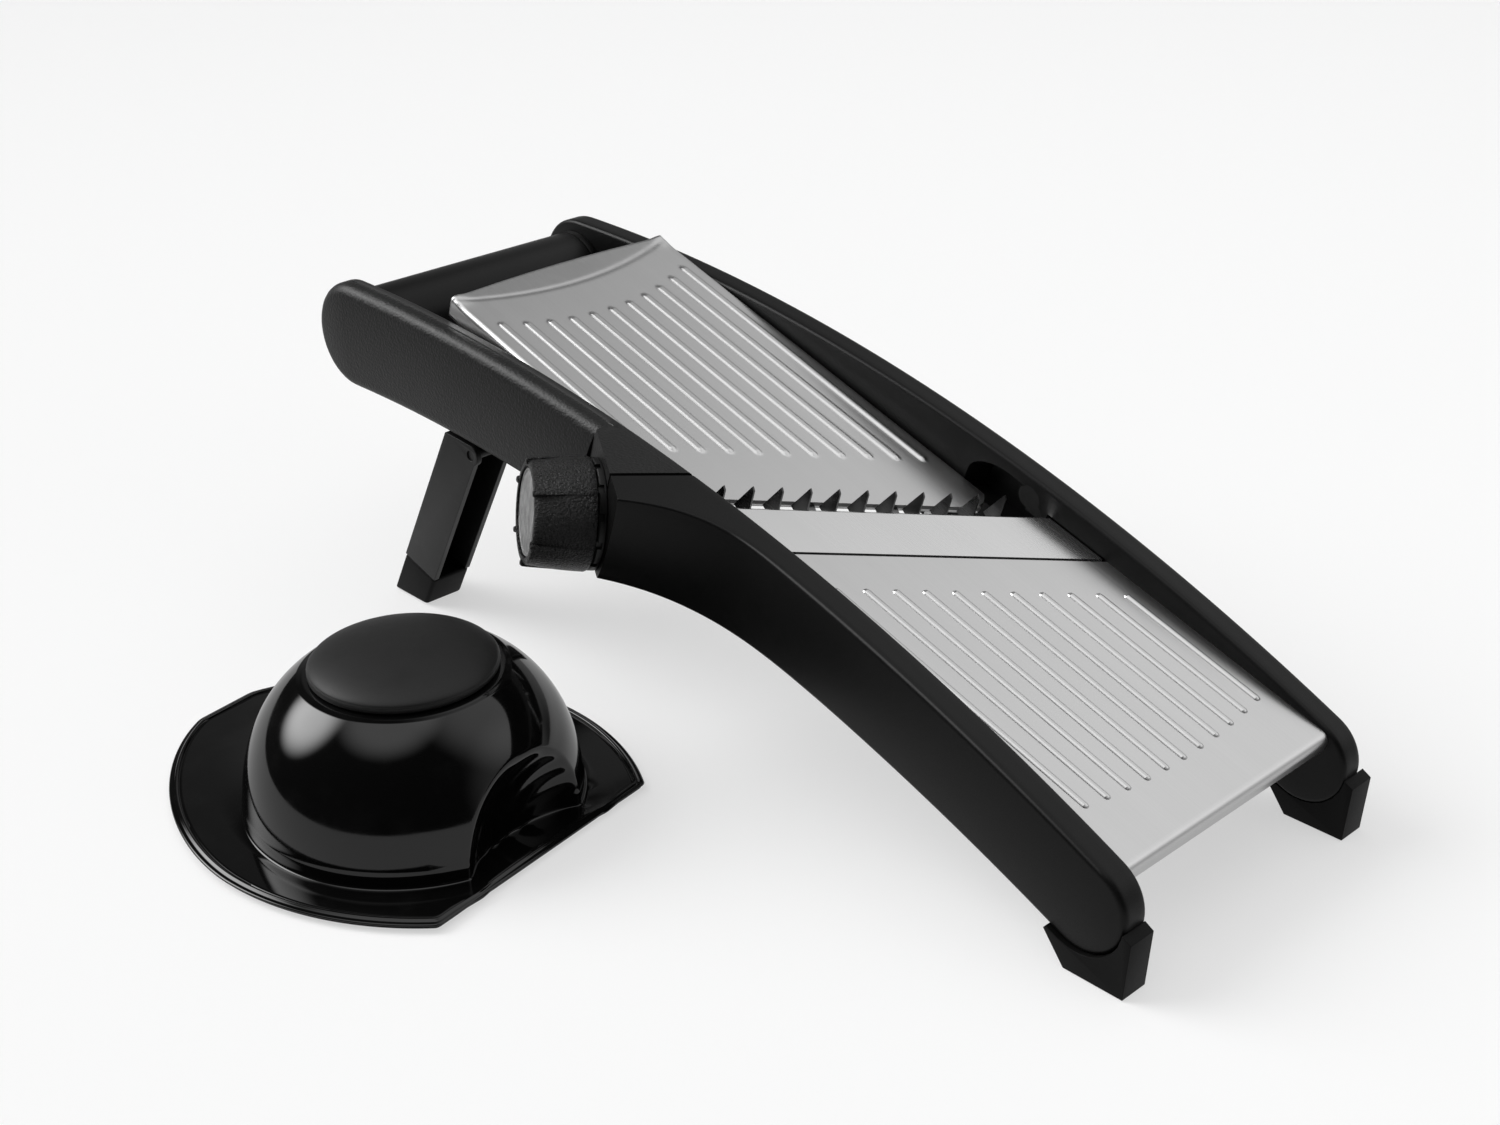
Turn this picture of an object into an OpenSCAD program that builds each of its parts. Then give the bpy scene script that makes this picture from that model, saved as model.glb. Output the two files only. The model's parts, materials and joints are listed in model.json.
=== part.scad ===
// Mandoline slicer: two curved side rails carry a fixed run-out plate, a diagonal blade, a feed ramp
// that a side dial raises, a julienne comb, folding rear legs, and a separate food holder.
// X runs along the slicer towards its discharge end, Y runs across it and Z is up. Millimetres.
// The origin is on the table, at the centre of the right front foot's sole.

/* [Side rails] */
// Width over the two side rails
body_w = 140; // [120:1:170]
// Thickness of a side rail
rail_t = 12.7; // [11:0.1:16]
// Distance along X between the centres of a rail's round ends
rail_span = 397; // [390:1:480]
// Radius of the long curve that a rail follows
rail_arc_r = 929; // [780:1:1120]
// Depth of a rail at the handle end
rail_depth_rear = 46; // [42:0.5:56]
// Depth of a rail at the discharge end
rail_depth_front = 35; // [30:0.5:40]
// Height of the centre of a rail's round end at the handle
rear_h = 114; // [108:1:122]
// Height of the centre of a rail's round end at the discharge end
front_h = 26.2; // [24:0.1:30]
// Diameter of the hand bar between the rails
handle_d = 38; // [30:1:42]

/* [Deck] */
// Slope of the blade and the plates
deck_slope = 18.2; // [16:0.1:20]
// Distance down the slope from the middle of the throat to the front bend of the run-out plate
deck_nose_u = 187.2; // [170:0.1:215]
// Height of the deck's plane over a rail's front centre, at the front bend
nose_rise = 13.2; // [12:0.1:15]
// How far the front bend stands in front of a rail's front centre
nose_reach = 10.3; // [8:0.1:13]
// Thickness of the run-out plate
plate_t = 1.2; // [0.8:0.1:1.5]
// Thickness of the ramp's plate
ramp_t = 1.0; // [0.8:0.1:1.2]
// Gap between a moving plate and a rail
side_gap = 0.5; // [0.3:0.1:0.8]
// Pitch of the long ribs on both plates
rib_pitch = 9.77; // [8:0.01:10]
// Radius of the round that a rib is pressed to
rib_r = 1.8; // [1.6:0.1:3]
// Height of a rib over its plate
rib_h = 0.8; // [0.4:0.1:1.2]

/* [Blade] */
// Angle between the blade and the slicer's cross direction
skew = 30.5; // [26:0.5:32]
// Width of the throat from the ramp's end to the blade's edge, square to the blade
throat_w = 15; // [14:0.1:18]
// Width of the blade strip
blade_w = 24.9; // [20:0.1:28]
// Thickness of the blade strip
blade_t = 1.2; // [1:0.1:1.5]
// Gap between the blade's back and the run-out plate
blade_gap = 1.3; // [0.8:0.1:2]
// Running gap between the blade's carrier and its seat
slide_gap = 0.3; // [0.3:0.05:0.5]

/* [Ramp and dial] */
// Drop of the ramp below the blade at the thickest cut
ramp_drop = 9.4; // [9.2:0.1:10.4]
// Lift that the dial gives the ramp over its whole turn
ramp_lift = 9.0; // [6:0.5:9]
// Turn of the dial from the thickest cut to closed
dial_turn = 150; // [120:5:150]
// Length of the ramp up the slope from the middle of the throat
ramp_len = 174.8; // [160:0.1:200]
// Depth of the dial's shaft below the deck
shaft_drop = 21; // [20:0.5:23]
// Distance of the shaft behind the ramp's end, square to the blade
shaft_back = 3.2; // [2.5:0.1:5]
// Diameter of the shaft
shaft_d = 7; // [6:0.5:7]
// Radial running clearance of the shaft and of the leg pins
run_gap = 0.05; // [0.02:0.01:0.08]
// How far the dial's collar face stands out from the right rail's outer side
collar_out = 10; // [8:0.5:20]
// Diameter of the collar
collar_d = 42; // [38:0.5:46]
// Diameter of the dial grip at its base
grip_d = 43; // [38:0.5:46]
// Length of the dial grip
grip_len = 23; // [18:0.5:28]
// Number of finger fins on the dial
fin_count = 6; // [4:1:8]

/* [Julienne comb] */
// Number of teeth
tooth_count = 11; // [7:1:11]
// Pitch of the teeth across the slicer
tooth_pitch = 9.62; // [8:0.01:9.8]
// Height of the tooth tips over the deck when the comb is raised
tooth_rise = 2.5; // [1:0.1:4]
// Thickness of a tooth
tooth_t = 0.8; // [0.6:0.1:1]
// Drop of the comb over the dial's whole turn
comb_drop = 4.4; // [3:0.1:4.4]

/* [Rear legs] */
// Lean of the legs from upright
leg_lean = 28.5; // [20:0.5:32]
// Width of a leg across the slicer
leg_w = 19; // [16:0.5:22]
// Thickness of a leg along the slicer
leg_d = 20.7; // [16:0.1:24]
// Inset of a leg's outer face from the rail's outer face
leg_inset = 3; // [2:0.5:5]
// Distance of the leg hinge behind the middle of the throat
leg_back = 149.5; // [130:0.5:165]
// Wall thickness of a leg's channel
leg_wall = 2.5; // [2:0.1:3]
// Diameter of a hinge pin
leg_pin_d = 4.4; // [3:0.1:5]

/* [Food holder] */
// Place of the dome's centre along the slicer, from the middle of the throat
holder_x = -68; // [-120:1:0]
// Distance of the dome's centre out from the right rail's outer side
holder_out = 90.4; // [85:0.1:150]
// Turn of the holder about its dome
holder_yaw = 9.3; // [-20:0.1:12]
// Radius of the dome at its foot
dome_r = 62.5; // [55:0.5:62.5]
// Height of the curve that the dome follows
dome_h = 65; // [62:1:80]
// Wall thickness of the dome
dome_wall = 2.5; // [2:0.1:3]
// Thickness of the flange
flange_t = 3; // [2.5:0.1:4]
// Radius of the flange's round sides
flange_arc_r = 108; // [104:1:120]
// Diameter of the palm cap
palm_d = 69; // [60:1:72]
// Travel of the plunger
plunger_travel = 20; // [10:1:20]
// Number of prongs on the outer ring
prong_count = 8; // [6:1:12]

/* [Hidden] */
$fn = 48;

// colours
black_plastic = [0.10, 0.10, 0.10];
soft_black = [0.14, 0.14, 0.14];
gloss_black = [0.05, 0.05, 0.05];
steel = [0.78, 0.78, 0.78];
rubber = [0.12, 0.12, 0.12];
pale_grey = [0.62, 0.62, 0.62];

// inner and outer faces of a rail
half_out = body_w / 2;
half_in = half_out - rail_t;

// the curve of the rails, in the X-Z plane
rail_front = [deck_nose_u * cos(deck_slope) - nose_reach, front_h];
rail_rear = [rail_front.x - rail_span, rear_h];
chord = rail_front - rail_rear;
chord_len = norm(chord);
chord_dir = chord / chord_len;
arc_mid = (rail_front + rail_rear) / 2
  + [chord_dir.y, -chord_dir.x] * sqrt(rail_arc_r * rail_arc_r - chord_len * chord_len / 4);
phi_rear = atan2(rail_rear.x - arc_mid.x, rail_rear.y - arc_mid.y);
phi_front = atan2(rail_front.x - arc_mid.x, rail_front.y - arc_mid.y);
function rail_phi(t) = phi_rear + t * (phi_front - phi_rear);
function rail_half(t) = (rail_depth_rear * (1 - t) + rail_depth_front * t) / 2;
function ray(a) = [sin(a), cos(a)];
function edge_pt(t, side, inset) =
  arc_mid + (rail_arc_r + side * (rail_half(t) - inset)) * ray(rail_phi(t));
edge_n = 34;
round_n = 12;
function rail_outline(inset = 0, n = edge_n, m = round_n) = concat(
  [for (i = [0:n]) edge_pt(i / n, 1, inset)],
  [for (i = [1:m - 1]) rail_front + (rail_half(1) - inset) * ray(phi_front + 180 * i / m)],
  [for (i = [n:-1:0]) edge_pt(i / n, -1, inset)],
  [for (i = [1:m - 1]) rail_rear + (rail_half(0) - inset) * ray(phi_rear + 180 + 180 * i / m)]
);
// height of a rail's upper (side 1) or lower (side -1) edge at x
function edge_t(x, side, t) =
  (asin((x - arc_mid.x) / (rail_arc_r + side * rail_half(t))) - phi_rear) / (phi_front - phi_rear);
function edge_z(x, side) = let (t = edge_t(x, side, edge_t(x, side, 0.5))) edge_pt(t, side, 0).y;

// the deck: its own frame has X down the slope, Y across and Z square to the plates
deck_z = front_h + nose_rise + deck_nose_u * sin(deck_slope);
nose_roll_r = 3.5;
nose_lip = 3;
function deck_pt(u, n) =
  [u * cos(deck_slope) + n * sin(deck_slope), deck_z - u * sin(deck_slope) + n * cos(deck_slope)];

// distances square to the blade from the ramp's end
edge_p = throat_w;
back_p = edge_p + blade_w;
plate_p = back_p + blade_gap;
shaft_p = -shaft_back;
split_p = shaft_p + 8.5;
function line_u(p, v) = p / cos(skew) + v * tan(skew);
function along_q(p, v) = (v + p * sin(skew)) / cos(skew);
q_collar = along_q(shaft_p, -body_w / 2 - collar_out);
q_far = along_q(shaft_p, half_in) + 5;
bush_r = shaft_d / 2 + 4;
bush_end_q = along_q(shaft_p, -half_in) - 4.5;

// involute cams: a flat pad over them rises by the same amount for each degree of the dial
cam_gap = 0.35;
cam_w = 4;
lift_rate = ramp_lift / (dial_turn * PI / 180);
drop_rate = comb_drop / (dial_turn * PI / 180);
cam_base = shaft_d / 2 + 1.1;
lug_n = -shaft_drop + cam_base + comb_drop + cam_gap;
lug_t = 0.9;
tooth_gap_q = tooth_pitch / cos(skew);
function tooth_v(i) = (i - (tooth_count - 1) / 2) * tooth_pitch;
function gap_q(i) = along_q(4, (tooth_v(i) + tooth_v(i + 1)) / 2);
lift_q = [gap_q(0), gap_q(tooth_count - 3)];
lug_q = [gap_q(floor(tooth_count / 3)), gap_q(tooth_count - 2 - floor(tooth_count / 3))];

// comb, square to the blade
bar_t = 1.2;
bar_p = cam_base + comb_drop + shaft_p + 1.0;
bar_top = -12.5;
bar_bottom = -24;
tooth_back = bar_p + bar_t;
guide_wall = 1.3;

// guide rods of the ramp
rod_r = 2.5;
rod_drop = 20;
rod_u = [-75, -140];
rod_end = half_in + 4.2;
slot_gap = 0.3;

// legs
leg_out = half_out - leg_inset;
leg_in = leg_out - leg_w;
knuckle_r = 4.5;
leg_top_gap = 0.6;
leg_pivot = [-leg_back, edge_z(-leg_back, -1) - leg_top_gap - knuckle_r];
leg_fold = 111;
sole_tilt = 17.4;
sole_h = 14.6;
tube_r = 5;
ear_t = 3.9;
ear_gap = 0.6;

// food holder
guide_z = 47;
guide_t = 3;
stem_r = 9;
plate_z = 12;
prong_plate_t = 3;
prong_plate_r = 27;
prong_r = 1.4;
prong_low = 2.5;
scoop_r = 33;
scoop_out = 9.5;
neck_r = 31;
dome_power = 2.3;
cap_z = 58.4;

// the origin of the part
origin_x = rail_front.x + 9;
origin_y = -(half_in + half_out) / 2;

// --- placing ---
module place() {
  translate([-origin_x, -origin_y, 0]) children();
}
module deck() {
  translate([0, 0, deck_z]) rotate([0, deck_slope, 0]) children();
}
// X square to the blade, Y along it, from the ramp's end line
module diag() {
  deck() rotate([0, 0, -skew]) children();
}
module side(s) {
  if (s < 0) mirror([0, 1, 0]) children();
  else children();
}
module along_y(y0, y1) {
  translate([0, y1, 0]) rotate([90, 0, 0]) linear_extrude(height = y1 - y0) children();
}
module cyl_y(x, z, r, y0, y1) {
  translate([x, y1, z]) rotate([90, 0, 0]) cylinder(r = r, h = y1 - y0);
}
// a prism along the blade from q0 to q1, drawn square to it
module along_blade(q0, q1) {
  translate([0, q1, 0]) rotate([90, 0, 0]) linear_extrude(height = q1 - q0) children();
}
module box(lo, hi) {
  translate(lo) cube(hi - lo);
}
// what lies between two planes parallel to the rails, in the deck's frame
module runway(half) {
  box([-400, -half, -80], [400, half, 80]);
}
// triangles across a ring of n points in which point i lies opposite point (mid - i)
function cap(n, mid) = [for (i = [ceil(mid / 2 - n / 2):floor(mid / 2) - 1])
  let (a = (i + n) % n, b = (i + 1 + n) % n, c = (mid - i - 1 + n) % n, d = (mid - i + n) % n)
  each [if (b != c) [c, b, a], if (a != d) [d, c, a]]];
// a skin through rings that have the same number of points, from the first ring to the last
module loft(rings, mid) {
  n = len(rings[0]);
  k = len(rings);
  pts = [for (r = rings) for (p = r) p];
  walls = [for (j = [0:k - 2]) for (i = [0:n - 1])
    let (a = j * n + i, b = j * n + (i + 1) % n) each [[a, b, b + n], [a, b + n, a + n]]];
  ends = cap(n, mid);
  polyhedron(points = pts, faces = concat(
    walls, ends, [for (f = ends) [for (i = [2:-1:0]) f[i] + (k - 1) * n]]
  ));
}

// --- side rails ---
module rail_blank() {
  along_y(half_in, half_out) polygon(rail_outline());
}
module rod_slots() {
  deck() for (u = rod_u) {
    low = -ramp_drop - rod_drop;
    cyl_y(u, low, rod_r + slot_gap, half_in - 1, rod_end + slot_gap);
    cyl_y(u, low + ramp_lift, rod_r + slot_gap, half_in - 1, rod_end + slot_gap);
    box([u - rod_r - slot_gap, half_in - 1, low], [u + rod_r + slot_gap, rod_end + slot_gap, low + ramp_lift]);
  }
}
// arch of the pocket in the left rail, square to the blade
pocket_p = [-20, 14];
pocket_top = 4.6;
pocket_low = -14;
function pocket_arch(n = 16) = let (c = (pocket_p[0] + pocket_p[1]) / 2, w = (pocket_p[1] - pocket_p[0]) / 2,
  z = -6) concat([[pocket_p[0], pocket_low]],
  [for (i = [0:n]) [c - w * cos(180 * i / n), z + (pocket_top - z) * sin(180 * i / n)]],
  [[pocket_p[1], pocket_low]]);
tab_p = 5.5;
tab_n = 0.8;
tab_r = 4.8;
carrier_low = -5;
carrier_flange = 1.4;
module cassette_opening() {
  q0 = along_q(0, half_in) - 2;
  along_blade(q0, q0 + 60) polygon([
    [edge_p - slide_gap - 0.2, carrier_low - slide_gap], [back_p + slide_gap, carrier_low - slide_gap],
    [back_p + slide_gap, slide_gap + 0.1], [edge_p - slide_gap - 0.2, slide_gap + 0.1]
  ]);
  translate([tab_p, q0 + 60, tab_n]) rotate([90, 0, 0]) cylinder(r = tab_r + slide_gap, h = 60);
  box([tab_p - tab_r - slide_gap, q0, carrier_low - slide_gap], [edge_p, q0 + 60, tab_n]);
}
module rail_left() {
  color(soft_black) difference() {
    rail_blank();
    rod_slots();
    intersection() {
      diag() along_blade(40, 120) polygon(pocket_arch());
      box([-300, half_in - 1, -50], [300, half_out - 3.7, 300]);
    }
    diag() cassette_opening();
    diag() along_blade(along_q(0, half_in) - 12, q_far + 1)
      translate([shaft_p, -shaft_drop]) circle(r = shaft_d / 2 + run_gap);
  }
}
// the housing narrows from the rail's side to the round collar
housing_x = [-88, 34];
housing_root_y = half_out - 6;
housing_inset = 0.9;
// corners of the housing's end face past the collar, square to the shaft
housing_end = [[-20, 20], [24, 26.5], [26, 8], [22, -13.5]];
module housing() {
  n = 6;
  xs = [for (i = [0:n]) housing_x[0] + (housing_x[1] - housing_x[0]) * i / n];
  hull() {
    along_y(-housing_root_y - 0.2, -housing_root_y) polygon(concat(
      [for (x = xs) [x, edge_z(x, 1) - housing_inset]],
      [for (i = [n:-1:0]) [xs[i], edge_z(xs[i], -1) + housing_inset]]
    ));
    on_shaft(q_collar + 1) {
      cylinder(d = collar_d, h = 1, $fn = 32);
      linear_extrude(height = 1) polygon(housing_end);
    }
  }
}
module rail_right_blank() {
  difference() {
    union() {
      side(-1) rail_blank();
      housing();
    }
    side(-1) rod_slots();
    on_shaft(q_collar) cylinder(d = max(collar_d, grip_d) + 1, h = 40);
    diag() along_blade(q_collar - 1, bush_end_q)
      translate([shaft_p, -shaft_drop]) circle(r = bush_r);
    diag() along_blade(q_collar, -40)
      translate([shaft_p, -shaft_drop]) circle(r = shaft_d / 2 + 0.5);
  }
}
split_gap = 0.3;
module rail_right_rear() {
  color(soft_black) difference() {
    rail_right_blank();
    diag() box([split_p - split_gap / 2, -220, -120], [400, 60, 120]);
  }
}
module rail_right_front() {
  color(soft_black) intersection() {
    rail_right_blank();
    diag() box([split_p + split_gap / 2, -320, -120], [400, 60, 120]);
  }
}
module hand_bar() {
  color(soft_black) cyl_y(rail_rear.x, rail_rear.y - 1, handle_d / 2, -half_in, half_in);
}

// --- deck ---
module rib(u0, u1, v) {
  translate([u0, v, rib_h - rib_r]) rotate([0, 90, 0]) rotate_extrude($fn = 24) polygon(concat(
    [for (a = [0:30:90]) [rib_r * sin(a), rib_r * (1 - cos(a))]],
    [for (a = [90:-30:0]) [rib_r * sin(a), u1 - u0 - rib_r * (1 - cos(a))]]
  ));
}
// how far a round of radius r has fallen back at distance v from its middle
function sagitta(r, v) = r - sqrt(r * r - v * v);
rib_lines = [for (i = [-5:5]) i * rib_pitch];
module runout_plate() {
  roll_u = deck_nose_u - nose_roll_r;
  color(steel) deck() {
    translate([0, 0, -plate_t]) linear_extrude(height = plate_t) polygon([
      [line_u(plate_p, -half_in), -half_in], [roll_u, -half_in],
      [roll_u, half_in], [line_u(plate_p, half_in), half_in]
    ]);
    along_y(-half_in, half_in) {
      intersection() {
        difference() {
          translate([roll_u, -nose_roll_r]) circle(r = nose_roll_r);
          translate([roll_u, -nose_roll_r]) circle(r = nose_roll_r - plate_t);
        }
        translate([roll_u, -nose_roll_r]) square(nose_roll_r);
      }
      translate([deck_nose_u - plate_t, -nose_roll_r - nose_lip]) square([plate_t, nose_lip]);
    }
    intersection() {
      for (v = rib_lines) rib(line_u(back_p + 19, v), roll_u - 18 - sagitta(302, v), v);
      box([0, -half_in, -plate_t / 2], [deck_nose_u, half_in, rib_h]);
    }
  }
}
bed_t = 2.2;
bed_rib = 5.6;
module runout_bed() {
  u1 = deck_nose_u - nose_roll_r - 0.2;
  top = -plate_t;
  color(black_plastic) deck() {
    translate([0, 0, top - bed_t]) linear_extrude(height = bed_t) polygon([
      [line_u(plate_p, -half_in), -half_in], [u1, -half_in],
      [u1, half_in], [line_u(plate_p, half_in), half_in]
    ]);
    for (v = [-42, -14, 14, 42]) {
      box([line_u(plate_p + 2, v), v - 1, top - bed_rib], [u1, v + 1, top - bed_t]);
    }
    box([u1 - 2, -half_in, top - bed_rib], [u1, half_in, top - bed_t]);
    box([u1 - 62, -half_in, top - bed_rib], [u1 - 60, half_in, top - bed_t]);
  }
}
// T-section of the blade's carrier, and the channel that it slides in
carrier_top = [edge_p + 6.5, back_p - 3.4];
carrier_foot = [edge_p + 4.5, back_p - 1.4];
seat_low = carrier_low - slide_gap - 3.5;
seat_p = [carrier_foot[0] - 1.8, plate_p - 0.2];
module blade_seat() {
  g = slide_gap;
  color(black_plastic) deck() intersection() {
    runway(half_in);
    rotate([0, 0, -skew]) along_blade(-140, 140) difference() {
      translate([seat_p[0], seat_low]) square([seat_p[1] - seat_p[0], -blade_t - g - seat_low]);
      translate([carrier_foot[0] - g, carrier_low - g])
        square([carrier_foot[1] - carrier_foot[0] + 2 * g, carrier_flange + 2 * g]);
      translate([carrier_top[0] - g, carrier_low])
        square([carrier_top[1] - carrier_top[0] + 2 * g, -carrier_low]);
    }
  }
}
module carrier_zone(far_v) {
  deck() intersection() {
    box([-200, -half_in + slide_gap, -20], [300, far_v, 20]);
    rotate([0, 0, -skew]) children();
  }
}
module blade() {
  color(steel) carrier_zone(half_in - 0.5) along_blade(-140, 140) polygon([
    [edge_p, -blade_t], [back_p, -blade_t], [back_p, 0], [edge_p + 1.8, 0], [edge_p, -blade_t + 0.1]
  ]);
}
tab_end = half_out - 1.4;
module blade_carrier() {
  low = carrier_low;
  color(black_plastic) {
    carrier_zone(tab_end) along_blade(-140, 140) {
      translate([carrier_foot[0], low]) square([carrier_foot[1] - carrier_foot[0], carrier_flange]);
      translate([carrier_top[0], low + carrier_flange])
        square([carrier_top[1] - carrier_top[0], -blade_t - low - carrier_flange]);
    }
    deck() intersection() {
      box([-200, half_in + 0.8, -20], [300, tab_end, 20]);
      rotate([0, 0, -skew]) union() {
        along_blade(0, 140) {
          translate([tab_p, tab_n]) circle(r = tab_r);
          translate([tab_p, low]) square([edge_p - slide_gap - tab_p, tab_n - low]);
        }
        along_blade(0, 140) translate([edge_p - slide_gap, low])
          square([carrier_top[0] - edge_p + slide_gap, -blade_t - low]);
      }
    }
  }
}

// --- ramp ---
flange_drop = 9;
flange_r = 2;
ramp_half = half_in - side_gap;
frame_low = -ramp_drop - 26;
frame_p = -20;
module ramp_plate() {
  top = -ramp_drop;
  color(steel) deck() {
    difference() {
      intersection() {
        along_u(-ramp_len - 6, 60) difference() {
          folded(ramp_half, top, flange_r, flange_drop);
          folded(ramp_half - ramp_t, top - ramp_t, flange_r - ramp_t + 0.2, flange_drop);
        }
        linear_extrude(height = 80, center = true) ramp_outline();
      }
      // the folded sides stop short of the dial's shaft
      rotate([0, 0, -skew]) box([shaft_p - shaft_d / 2 - 7, -120, top - 40], [60, 120, top - 3]);
    }
    intersection() {
      translate([0, 0, top]) for (v = rib_lines)
        rib(-ramp_len + 33 - sagitta(115.6, v), line_u(-28, v), v);
      box([-ramp_len, -ramp_half, top - ramp_t / 2], [60, ramp_half, top + rib_h]);
    }
  }
}
module along_u(u0, u1) {
  translate([u0, 0, 0]) rotate([90, 0, 90]) linear_extrude(height = u1 - u0) children();
}
// end view of a plate with both sides folded down over a round
module folded(half, top, r, drop) {
  translate([-half, top - drop - 2]) square([2 * half, drop + 2 - r]);
  translate([-half + r, top - r]) square([2 * (half - r), r]);
  for (s = [-1, 1]) translate([s * (half - r), top - r]) circle(r = r, $fn = 32);
}
corner_r = 9;
module ramp_outline() {
  v0 = -ramp_half;
  v1 = ramp_half;
  // the round at the lower far corner lies in the corner between the ramp's end and its side
  cv = v1 - corner_r;
  cu = line_u(-corner_r, cv);
  difference() {
    polygon(concat(
      [[line_u(0, v0), v0], [line_u(0, cv + corner_r * sin(skew)), cv + corner_r * sin(skew)]],
      [for (a = [-skew:10:90]) [cu + corner_r * cos(a), cv + corner_r * sin(a)]],
      [[-ramp_len, v1]],
      [for (i = [1:15]) let (v = v1 - i * 2 * v1 / 16) [-ramp_len - 3 * (1 - v * v / (v1 * v1)), v]],
      [[-ramp_len, v0]]
    ));
  }
}
module ramp_frame() {
  top = -ramp_drop - ramp_t;
  wall = [half_in - side_gap - ramp_t - 3, half_in - side_gap - ramp_t];
  web = 2;
  bar_low = -ramp_drop - rod_drop + rod_r + 2;
  cuts = [[-ramp_len + 8, rod_u[1] - web / 2], [rod_u[1] + web / 2, rod_u[0] - web / 2]];
  color(black_plastic) difference() {
    union() {
      deck() intersection() {
        box([-ramp_len + 5, -wall[1], frame_low], [60, wall[1], top]);
        rotate([0, 0, -skew]) box([-400, -200, -80], [frame_p, 200, 0]);
      }
      diag() for (q = lift_q) box([frame_p - 3, q - 3.4, pad_n_low()], [-1, q + 3.4, top - 0.3]);
    }
    deck() {
      for (c = cuts) box([c[0], -wall[0], frame_low - 1], [c[1], wall[0], top + 1]);
      intersection() {
        box([rod_u[0] + web / 2, -wall[0], frame_low - 1], [60, wall[0], top + 1]);
        rotate([0, 0, -skew]) box([-400, -200, -80], [frame_p - 10, 200, 0]);
      }
      box([-ramp_len, -wall[0], frame_low - 1], [60, wall[0], bar_low]);
      intersection() {
        box([-200, -wall[0], frame_low - 1], [60, wall[0], pad_n_low()]);
        rotate([0, 0, -skew]) box([frame_p - 11, -200, -80], [1, 200, 0]);
      }
      for (u = rod_u) cyl_y(u, -ramp_drop - rod_drop, rod_r + 0.02, -half_out, half_out);
      // room for the inside of the plate's folds
      for (s = [-1, 1]) side(s)
        box([-ramp_len, wall[1] - flange_r + 0.6, top - flange_r + 0.6], [60, wall[1] + 1, top + 1]);
    }
  }
}
function pad_n_low() = -shaft_drop + cam_base + cam_gap;
module guide_rod(u) {
  color(steel) deck() cyl_y(u, -ramp_drop - rod_drop, rod_r, -rod_end, rod_end);
}
module guide_rod_upper() {
  guide_rod(rod_u[1]);
}
module guide_rod_lower() {
  guide_rod(rod_u[0]);
}

// --- dial ---
module dial_bush() {
  color(black_plastic) diag() along_blade(q_collar + 0.2, bush_end_q - 0.2) difference() {
    translate([shaft_p, -shaft_drop]) circle(r = bush_r - 0.02);
    translate([shaft_p, -shaft_drop]) circle(r = shaft_d / 2 + run_gap);
  }
}
collar_t = 3;
module dial_collar() {
  color(black_plastic) diag() along_blade(q_collar - collar_t, q_collar) translate([shaft_p, -shaft_drop])
    difference() {
      circle(d = collar_d);
      circle(r = shaft_d / 2 + 0.5);
      for (a = [0:30:330]) rotate(a) translate([collar_d / 2 - 1.2, -1.5]) square([3, 3]);
    }
}
grip_back = q_collar - collar_t - 0.4;
grip_front = grip_back - grip_len;
face_r = 16.5;
face_t = 2;
module on_shaft(q) {
  diag() translate([shaft_p, q, -shaft_drop]) rotate([90, 0, 0]) children();
}
module dial_grip() {
  r0 = grip_d / 2;
  r1 = r0 - 2;
  color(black_plastic) on_shaft(grip_back) difference() {
    union() {
      cylinder(r1 = r0, r2 = r1, h = grip_len);
      for (i = [0:fin_count - 1]) rotate(i * 360 / fin_count) {
        translate([r1 - 1.2, 0, 1]) cylinder(r = 2.4, h = grip_len);
        translate([r1 - 1.2, 0, grip_len + 1]) sphere(r = 2.4, $fn = 24);
      }
    }
    translate([0, 0, -1]) cylinder(r = shaft_d / 2 + 0.02, h = grip_len - 3);
    translate([0, 0, grip_len - face_t - 0.6]) cylinder(r = face_r + 0.1, h = 8);
    difference() {
      translate([0, 0, -1]) cylinder(r = r1 - 3, h = 12);
      translate([0, 0, -1]) cylinder(r = shaft_d / 2 + 3, h = 12);
    }
  }
}
module dial_face() {
  color(pale_grey) on_shaft(grip_back - grip_len + face_t + 0.6) cylinder(r = face_r, h = face_t);
}
// a cam whose support height at turn a is base + rise(a), for a flat pad over it
module cam(h0, rate, start, end) {
  n = 15;
  pts = [for (i = [0:n]) let (a = i * dial_turn / n, h = h0 + rate * a * PI / 180)
    h * [-sin(a), cos(a)] + rate * [-cos(a), -sin(a)]];
  along_blade(start, end) translate([shaft_p, -shaft_drop]) {
    circle(r = min(h0, h0 + rate * dial_turn * PI / 180));
    polygon(concat([[0, 0]], pts));
  }
}
module cam_shaft() {
  color(steel) diag() {
    along_blade(grip_front + 6, q_far - 0.5) translate([shaft_p, -shaft_drop]) circle(d = shaft_d);
    for (q = lift_q) cam(cam_base, lift_rate, q - cam_w / 2, q + cam_w / 2);
    for (q = lug_q) cam(cam_base + comb_drop, -drop_rate, q - cam_w / 2 + 0.5, q + cam_w / 2 - 0.5);
  }
}

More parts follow.
